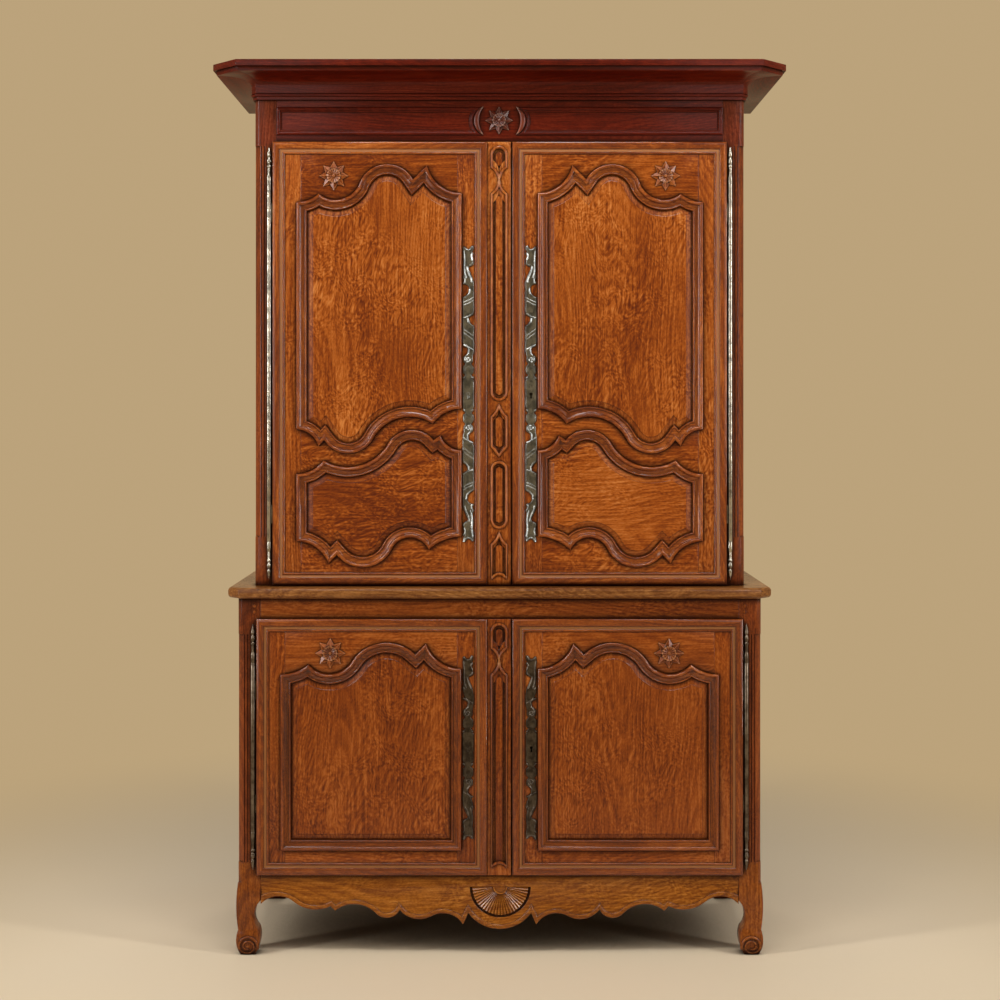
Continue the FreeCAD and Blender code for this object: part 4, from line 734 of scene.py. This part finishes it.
# Eight-pointed stars with a rosette in the middle
star = {"tips": 8, "waist": 0.63, "edge": 0.003, "sunk": 0.001, "core": 0.45, "ridge": 0.006,
        "valley": 0.0028, "well": 0.0055, "wellWidth": 0.85, "near": 0.0005, "tipFrom": 0.9}
rosette = {"petals": 14, "size": 0.5, "scallop": 0.91, "rise": 0.0098, "rim": 0.16, "rimRise": 0.0012,
           "dish": 0.0046, "dishWidth": 0.42, "flute": 0.0034, "near": 0.0004, "middle": 0.5,
           "buttonEdge": 0.12, "button": 0.0018, "buttonTop": 0.1, "buttonRise": 0.0008, "crown": 0.0004}


def carveStar(name, place, reach, finish, body):
    def away(vertex):                           # distance from the middle of the star
        return math.hypot(vertex.co.x - place[0], vertex.co.z - place[2])

    rays = disc(name, place, reach, star["tips"] * 2)
    pick(rays, lambda vertex: vertex.index % 2)
    narrow(star["waist"], place)
    bpy.ops.mesh.select_all(action="SELECT")
    pull(star["edge"] + star["sunk"])
    pull(star["valley"])
    narrow(star["core"], place)
    top = place[1] - star["edge"] - star["sunk"] - star["valley"] + star["near"]
    tipReach = reach * star["core"] * star["tipFrom"]
    pick(rays, lambda vertex: vertex.co.y < top and away(vertex) > tipReach)
    push(star["valley"] - star["ridge"])
    pick(rays, lambda vertex: vertex.co.y < top)
    pull(-star["well"])
    narrow(star["wellWidth"], place)
    leaveEdit()
    # a dished rosette in its middle with a scalloped rim, flutes and a button
    inner, step = reach * rosette["size"], math.tau / rosette["petals"] / 2

    def isHollow(vertex):
        return round(math.atan2(vertex.co.z - place[2], vertex.co.x - place[0]) / step) % 2

    rose = disc(name + "_rosette", place, inner, rosette["petals"] * 2)
    pick(rose, isHollow)
    narrow(rosette["scallop"], place)
    bpy.ops.mesh.select_all(action="SELECT")
    pull(rosette["rise"])
    bpy.ops.mesh.inset(thickness=inner * rosette["rim"], depth=rosette["rimRise"])
    bpy.ops.mesh.inset(thickness=inner * rosette["dishWidth"], depth=-rosette["dish"])
    crest = place[1] - rosette["rise"] - rosette["rimRise"]
    pick(rose, lambda vertex: isHollow(vertex) and abs(vertex.co.y - crest) < rosette["near"])
    push(rosette["flute"])
    pick(rose, lambda vertex: away(vertex) < inner * rosette["middle"])
    bpy.ops.mesh.inset(thickness=inner * rosette["buttonEdge"], depth=0.0)
    pull(rosette["button"])
    bpy.ops.mesh.inset(thickness=inner * rosette["buttonTop"], depth=rosette["buttonRise"])
    bpy.ops.mesh.poke(offset=rosette["crown"])
    leaveEdit()
    finishCarving(rose, finish, body, 20)
    finishCarving(rays, finish, body, 12)


for side, sign in sides:
    carveStar("upper_star_" + side, (sign * 0.457, -0.222, 2.139), 0.040, "doorStar",
              "upper_%s_door" % side)
    carveStar("base_star_" + side, (sign * 0.463, -0.257, 0.829), 0.041, "baseStar",
              "base_%s_door" % side)
carveStar("frieze_star", (-0.0015, -0.212, 2.2935), 0.038, "frieze", "case")

# Leaf-shaped crescents beside the frieze star: round wires that taper to both tips, then flattened
crescent = {"tip": 0.0455, "middle": 0.0642, "low": 2.2545, "high": 2.331, "thick": 0.0082,
            "depth": -0.2165, "flat": 0.75, "thin": 0.06, "fullness": 0.85}


def leafTaper(t):
    return max(crescent["thin"], math.sin(math.pi * t) ** crescent["fullness"])


for side, sign in sides:
    low, high = (sign * crescent["tip"], crescent["low"]), (sign * crescent["tip"], crescent["high"])
    line = [low] + arc(low, high, -sign * (crescent["middle"] - crescent["tip"]), 24)
    wire = drawWire("leaf", [front(line, crescent["depth"])], False)
    leaf = roundWire(wire, crescent["thick"], leafTaper)
    edit()
    flatten(crescent["flat"], crescent["depth"])
    leaveEdit()
    leaf.name = "frieze_crescent_" + side
    finishCarving(leaf, "frieze", "case", 50)
print("stars carved")

# The apron's sunk fan: rays with a hollow half button at their centre
fan = {"place": (0.0017, -0.248, 0.187), "reach": 0.0834, "rays": 0.0765, "button": 0.0195, "count": 54,
       "sunk": 0.0065, "proud": 0.0004, "outerDip": 0.0034, "innerDip": 0.0012, "rim": 0.0035,
       "hollow": 0.003, "hollowEdge": 0.001, "cone": 0.0012, "low": 0.001, "root": 0.001, "clear": 0.01,
       "band": 0.003, "bead": {"front": -0.2515, "radius": 0.0036}}


def cutHalf(place):                             # keeps what is under the fan's flat top
    bpy.ops.mesh.select_all(action="SELECT")
    bpy.ops.mesh.bisect(plane_co=place, plane_no=(0, 0, 1), use_fill=True, clear_outer=True)
    leaveEdit()


fanX, fanY, fanZ = fan["place"]
leftEnd, rightEnd = (fanX - fan["reach"], fanZ), (fanX + fan["reach"], fanZ)
pocket = raiseFigure("pocket", [leftEnd] + arc(leftEnd, rightEnd, -fan["reach"], 60), fanY + fan["sunk"],
                     fan["sunk"] + fan["clear"])
dress("base_apron", "apron", cutter=pocket, rounded=fan["bead"])
fanFloor = (fanX, fanY + fan["sunk"] + fan["root"], fanZ)
rays = disc("apron_fan", fanFloor, fan["rays"], fan["count"] * 2)
pull(fanFloor[1] - (fanY - fan["proud"]))
bpy.ops.mesh.inset(thickness=fan["rays"] - fan["button"], depth=-fan["cone"])


def isValley(vertex, isOuter):
    across, down = vertex.co.x - fanX, vertex.co.z - fanZ
    turn = round(math.atan2(down, across) / math.tau * fan["count"] * 2)
    isFront = vertex.co.y < fanY + fan["band"]
    return turn % 2 and isFront and (math.hypot(across, down) > fan["rays"] / 2) == isOuter


for isOuter, dip in ((True, fan["outerDip"]), (False, fan["innerDip"])):
    pick(rays, lambda vertex: isValley(vertex, isOuter))
    push(dip)
cutHalf(fan["place"])
button = disc("button", fanFloor, fan["button"], 48)
pull(fanFloor[1] - (fanY - fan["low"]))
bpy.ops.mesh.inset(thickness=fan["rim"], depth=0)
bpy.ops.mesh.inset(thickness=fan["hollowEdge"], depth=-fan["hollow"])
cutHalf(fan["place"])
finishCarving(joinAll("apron_fan", [rays, button]), "fan", "case", 30)

# Scrolls on the front feet: a tapering bead that winds in to an eye
volute = {"x": 0.6905, "z": 0.0247, "outer": 0.0285, "inner": 0.0078, "turns": 1.9, "start": -0.5,
          "tighten": 1.15, "bead": 0.0042, "taper": 0.4, "steps": 44, "eye": 0.0044, "root": 0.0005,
          "eyeRise": 0.002, "eyeEdge": 0.4, "eyeTop": 0.001}
for side, sign in sides:
    leg = bpy.data.objects["base_%s_leg_worked" % side]
    winding = []
    for i in range(volute["steps"] + 1):
        t = i / volute["steps"]
        reach = volute["outer"] + (volute["inner"] - volute["outer"]) * t ** volute["tighten"]
        turn = volute["start"] + volute["turns"] * math.tau * t
        x, z = sign * (volute["x"] - reach * math.cos(turn)), volute["z"] + reach * math.sin(turn)
        isHit, place, normal, face = leg.ray_cast((x, -1, z), (0, 1, 0))
        if isHit:                               # the winding starts where the foot does
            winding.append((x, place.y, z))
    scroll = roundWire(drawWire("scroll", [winding], False), volute["bead"],
                       lambda t: 1 - volute["taper"] * t)
    eye = disc("eye", (sign * volute["x"], winding[-1][1] + volute["root"], volute["z"]), volute["eye"], 20)
    pull(volute["eyeRise"])
    bpy.ops.mesh.inset(thickness=volute["eye"] * volute["eyeEdge"], depth=volute["eyeTop"])
    leaveEdit()
    finishCarving(joinAll("foot_scroll_" + side, [scroll, eye]), "foot", "case", 50)
print("apron and feet carved")

# Lock plates. Half of the outline and its chased lines, in millimetres from the keyhole on the left plate;
# the lower half is the same turned over, the right plate the same mirrored, and the base plates leave out
# the middle
plate = {"x": 0.0865, "thick": 0.0028, "edge": 0.0024, "line": 0.0023, "crest": 0.58, "weld": 0.00001,
         "cut": (136, 316), "shift": 157, "rim": 0.0008, "behind": 0.002, "through": 0.01,
         "right": [(12.4, 409), (14, 400), (11, 392), (9, 388), (10.5, 376), (13, 368), (14.5, 358), (9, 353),
                   (1, 349), (5, 336), (13, 316), (15, 308), (15, 302), (15, 240), (15, 229), (14.2, 224),
                   (7, 218), (1, 206), (6, 194), (14.2, 188), (15, 183), (15, 160), (15, 119), (12, 102),
                   (12, 90), (8, 83), (13, 76), (14.4, 66), (13, 57), (8, 52), (11.5, 48), (8, 44), (14, 39),
                   (15, 34), (15, 15)],
         "left": [(-12.4, 406), (-14, 398), (-11, 385), (-13, 365), (-14, 345), (-12, 331), (-14.5, 321),
                  (-9, 314), (-14.5, 306), (-4, 301), (3, 291), (2, 279), (-6, 270), (-14.2, 266),
                  (-15, 261), (-15, 220), (-15, 180), (-15, 144), (-14.2, 139), (-6, 133), (1, 121),
                  (-3, 108), (-12, 103), (-13.4, 95), (-12, 88), (-8, 83), (-13, 76), (-14.4, 66),
                  (-13, 57), (-8, 52), (-11.5, 48), (-8, 44), (-14, 39), (-15, 34), (-15, 15)],
         "dip": (0, 397),
         "lines": [[(-12, 405), (-8, 398.5), (0, 396), (8, 399), (12, 407)],
                   [(13, 389), (9, 383), (9.5, 375), (12, 369)], [(13.5, 363), (10, 357), (4, 354)],
                   [(-12.5, 394), (-10, 372), (-10.5, 350), (-9.5, 334), (-5, 320)],
                   [(-3.5, 351), (0, 336), (8, 318), (10, 308)],
                   [(-13, 321), (-9, 316), (-9, 308), (-13, 304)],
                   [(-13, 264), (-6, 268), (3, 277), (5, 290)], [(-13, 252), (0, 257), (14, 265)],
                   [(-13, 244), (0, 249), (14, 257)], [(-13, 209), (2, 214), (14, 222)],
                   [(13, 186), (6, 191), (0, 200), (-1, 209)], [(-13, 178), (0, 169), (13, 159)],
                   [(-13, 168), (0, 159), (13, 149)], [(-13, 135), (0, 129), (14, 121)],
                   [(-6, 135), (2, 125), (1, 111), (-6, 104)], [(-14, 43), (-9, 46)], [(14, 43), (9, 46)]]}
curl = {"centre": (-1, 94.5), "outer": 8.5, "inner": 2, "turns": 1.4, "start": 2.2, "steps": 24}
boss = {"height": 66, "radius": 0.0108, "root": 0.0005, "rise": 0.0007,
        "tiers": [(0.003, 0.0009), (0.004, 0.0004)]}
keyway = {"foot": (2.4, -12), "neck": (1.7, -3.4), "eye": 4.2, "turn": 2.6, "points": 15}


def ofLevel(points, level):                     # the base plates leave out what lies between the two cuts
    if level == "upper":
        return points
    low, high = plate["cut"]
    return [(u, v - plate["shift"] if v >= high else v) for u, v in points if v <= low or v >= high]


def turned(points):
    return [(-u, -v) for u, v in points]


def placed(points, keyhole, depth):             # millimetres on the left plate to metres in the frame
    return [(-plate["x"] + u / 1000, depth, keyhole + v / 1000) for u, v in points]


def curlLine():                                 # a small spiral, from outside in
    points, (middleU, middleV) = [], curl["centre"]
    for i in range(curl["steps"] + 1):
        reach = curl["outer"] + (curl["inner"] - curl["outer"]) * i / curl["steps"]
        turn = math.tau * curl["turns"] * i / curl["steps"] + curl["start"]
        points.append((middleU + reach * math.cos(turn), middleV + reach * math.sin(turn)))
    return points


def keyholeLine():
    (footU, footV), (neckU, neckV) = keyway["foot"], keyway["neck"]
    turns = np.linspace(keyway["turn"], -keyway["turn"], keyway["points"])
    eye = [(keyway["eye"] * math.sin(turn), keyway["eye"] * math.cos(turn)) for turn in turns]
    return [(-footU, footV), (footU, footV), (neckU, neckV)] + eye + [(-neckU, neckV)]


def smoothFill(name, points, thick, edge):      # a flat smooth outline, filled, with rounded edges
    drawWire(name, [[(u / 1000, v / 1000, 0) for u, v in points]])
    leaveEdit()
    bpy.ops.object.convert(target="CURVE")
    outline = bpy.context.object
    bpy.ops.object.mode_set(mode="EDIT")
    bpy.ops.curve.select_all(action="SELECT")
    bpy.ops.curve.spline_type_set(type="BEZIER")
    bpy.ops.curve.handle_type_set(type="AUTOMATIC")
    leaveEdit()
    outline.data.dimensions, outline.data.fill_mode, outline.data.resolution_u = "2D", "BOTH", 4
    outline.data.bevel_depth, outline.data.bevel_resolution, outline.data.offset = edge, 3, -edge
    bpy.ops.object.convert(target="MESH")
    piece = bpy.context.object
    edit()
    closeUp(plate["weld"])
    bpy.ops.transform.resize(value=(1, 1, thick / edge / 2), center_override=(0, 0, 0))
    leaveEdit()
    return piece


def makePlate(level, keyhole, depth):
    right, left = ofLevel(plate["right"], level), ofLevel(plate["left"], level)
    tip = ofLevel([plate["dip"]], level)
    outline = tip + right + turned(left)[::-1] + turned(tip) + turned(right) + left[::-1]
    body = smoothFill("plate", outline, plate["thick"], plate["edge"])
    body.rotation_euler = (math.pi / 2, 0, 0)
    body.location = (-plate["x"], depth + plate["thick"] / 2, keyhole)
    bpy.ops.object.transform_apply(location=True, rotation=True, scale=True)
    lines = [ofLevel(line, level) for line in plate["lines"]] + [curlLine()]
    lines = [line for line in lines if len(line) > 1]
    chased = [placed(line, keyhole, depth) for line in lines + [turned(line) for line in lines]]
    ridges = roundWire(drawWire("lines", chased, False), plate["line"], None, 0)
    edit()
    flatten(plate["crest"], depth)
    leaveEdit()
    parts = [body, ridges]
    for height in (boss["height"], -boss["height"]):
        middle = (-plate["x"], depth + boss["root"], keyhole + height / 1000)
        parts.append(disc("boss", middle, boss["radius"], 24))
        pull(boss["rise"])
        for inset, rise in boss["tiers"]:
            bpy.ops.mesh.inset(thickness=inset, depth=rise)
        leaveEdit()
    return parts


for level, keyhole, face, finish in (("upper", 1.538, -0.223, "plate"), ("base", 0.571, -0.258, "iron")):
    depth = face - plate["thick"]
    leftPlate = joinAll("%s_plate_left" % level, makePlate(level, keyhole, depth))
    bpy.ops.object.duplicate()
    rightPlate = bpy.context.object
    rightPlate.name = "%s_plate_right" % level
    rightPlate.scale = (-1, 1, 1)
    bpy.ops.object.transform_apply(location=True, rotation=True, scale=True)
    edit()
    bpy.ops.mesh.normals_make_consistent(inside=False)
    leaveEdit()
    # the right plate is pierced, the left one has only the outline of a keyhole
    pierced = [(plate["x"] + u / 1000, keyhole + v / 1000) for u, v in keyholeLine()]
    cutAway(rightPlate, raiseFigure("hole", pierced, face + plate["behind"], plate["through"]))
    blind = drawWire("rim", [placed(keyholeLine(), keyhole, depth)])
    leftPlate = joinAll(leftPlate.name, [leftPlate, roundWire(blind, plate["rim"], None, 2)])
    for side, piece in (("left", leftPlate), ("right", rightPlate)):
        finishCarving(piece, finish, "%s_%s_door" % (level, side), 40)
        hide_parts("%s_door_%s_lock_plate" % (level, side))
print("lock plates made")

# Oak pegs at the base's front joints
peg = {"radius": 0.0048, "proud": 0.0012, "root": 0.0005, "edge": 0.001, "crown": 0.0004, "x": 0.672,
       "depth": -0.2475, "heights": (0.9405, 0.957)}
pegs = []
for side, sign in sides:
    for height in peg["heights"]:
        pegs.append(disc("peg", (sign * peg["x"], peg["depth"], height), peg["radius"], 10))
        pull(peg["root"] + peg["proud"])
        bpy.ops.mesh.inset(thickness=peg["edge"], depth=peg["crown"])
        leaveEdit()
finishCarving(joinAll("base_pegs", pegs), "base", "case")
print("pegs set")

# Floor, world and lamps. The far floor fades to the colour of the background
room = {"size": 60, "floor": (0.78, 0.63, 0.43), "mottle": (0.6, 0.57, 0.53), "mottled": 0.12,
        "shade": (0.05, 0.03, 0.014), "shaded": 0.9, "shadeReach": 0.5, "light": (1.0, 0.97, 0.92),
        "fill": 0.07, "seen": (0.5, 0.365, 0.2), "near": 0.9, "far": 2.8}


def seenRays(paint):                            # 1 for rays that show the background
    rays = [paint.add("ShaderNodeLightPath", None, None, out=kind)
            for kind in ("Is Camera Ray", "Is Glossy Ray", "Is Transmission Ray")]
    return rays[0].math("MAXIMUM", rays[1]).math("MAXIMUM", rays[2])


bpy.ops.mesh.primitive_plane_add(size=room["size"])
floor = bpy.context.object
floor.name = "floor"
floorPaint = Paint(bpy.data.materials.new("pale_floor"), Roughness=0.9, Specular_IOR_Level=0.1)
floorPlace = floorPaint.place()
mottle = floorPaint.noise(floorPlace, 3.0, 3.0) * room["mottled"]
floorColour = floorPaint.mix(mottle, room["floor"], room["mottle"])
# painted shadow, dark where the base stands close above
under = floorPaint.crevice(room["shadeReach"], 16).between(0.45, 0.9) * room["shaded"]
floorPaint.connect(Base_Color=floorPaint.mix(under, floorColour, room["shade"]))
away = floorPaint.add("ShaderNodeVectorMath", {"operation": "LENGTH"}, {0: floorPlace}, out="Value")
haze = floorPaint.add("ShaderNodeEmission", None, {"Color": room["seen"]})
floorPaint.show(away.between(room["near"], room["far"]) * seenRays(floorPaint), haze)
floor.data.materials.append(floorPaint.owner)

bpy.context.scene.world = bpy.data.worlds.new("studio")
worldPaint = Paint(bpy.context.scene.world, Color=room["light"], Strength=room["fill"])
worldPaint.show(seenRays(worldPaint), worldPaint.add("ShaderNodeBackground", None, {"Color": room["seen"]}))

# where each lamp is and aims, its width, height and power
lamps = {"top": ((0, -2.0, 4.4), (0, -0.2, 1.4), 2.8, 0.5, 66),
         "left": ((-2.3, -2.9, 2.2), (0, -0.2, 1.4), 1.5, 3.2, 14),
         "right": ((2.3, -2.9, 2.2), (0, -0.2, 1.4), 1.5, 3.2, 12),
         "leftEdge": ((-3.1, -1.7, 2.2), (0, -0.2, 1.4), 0.3, 3.2, 74),
         "rightEdge": ((3.1, -1.7, 2.2), (0, -0.2, 1.4), 0.3, 3.2, 66),
         "back": ((0, 3.0, 4.4), (0, 0.3, 1.2), 2.8, 0.5, 48)}
for name, (place, aim, width, height, power) in lamps.items():
    bpy.ops.object.light_add(type="AREA", location=place)
    lamp = bpy.context.object
    lamp.name = "lamp_" + name
    lamp.data.shape = "RECTANGLE"
    lamp.data.size, lamp.data.size_y, lamp.data.energy = width, height, power
    lamp.rotation_euler = (Vector(aim) - Vector(place)).to_track_quat("-Z", "Y").to_euler()
print("stage set")
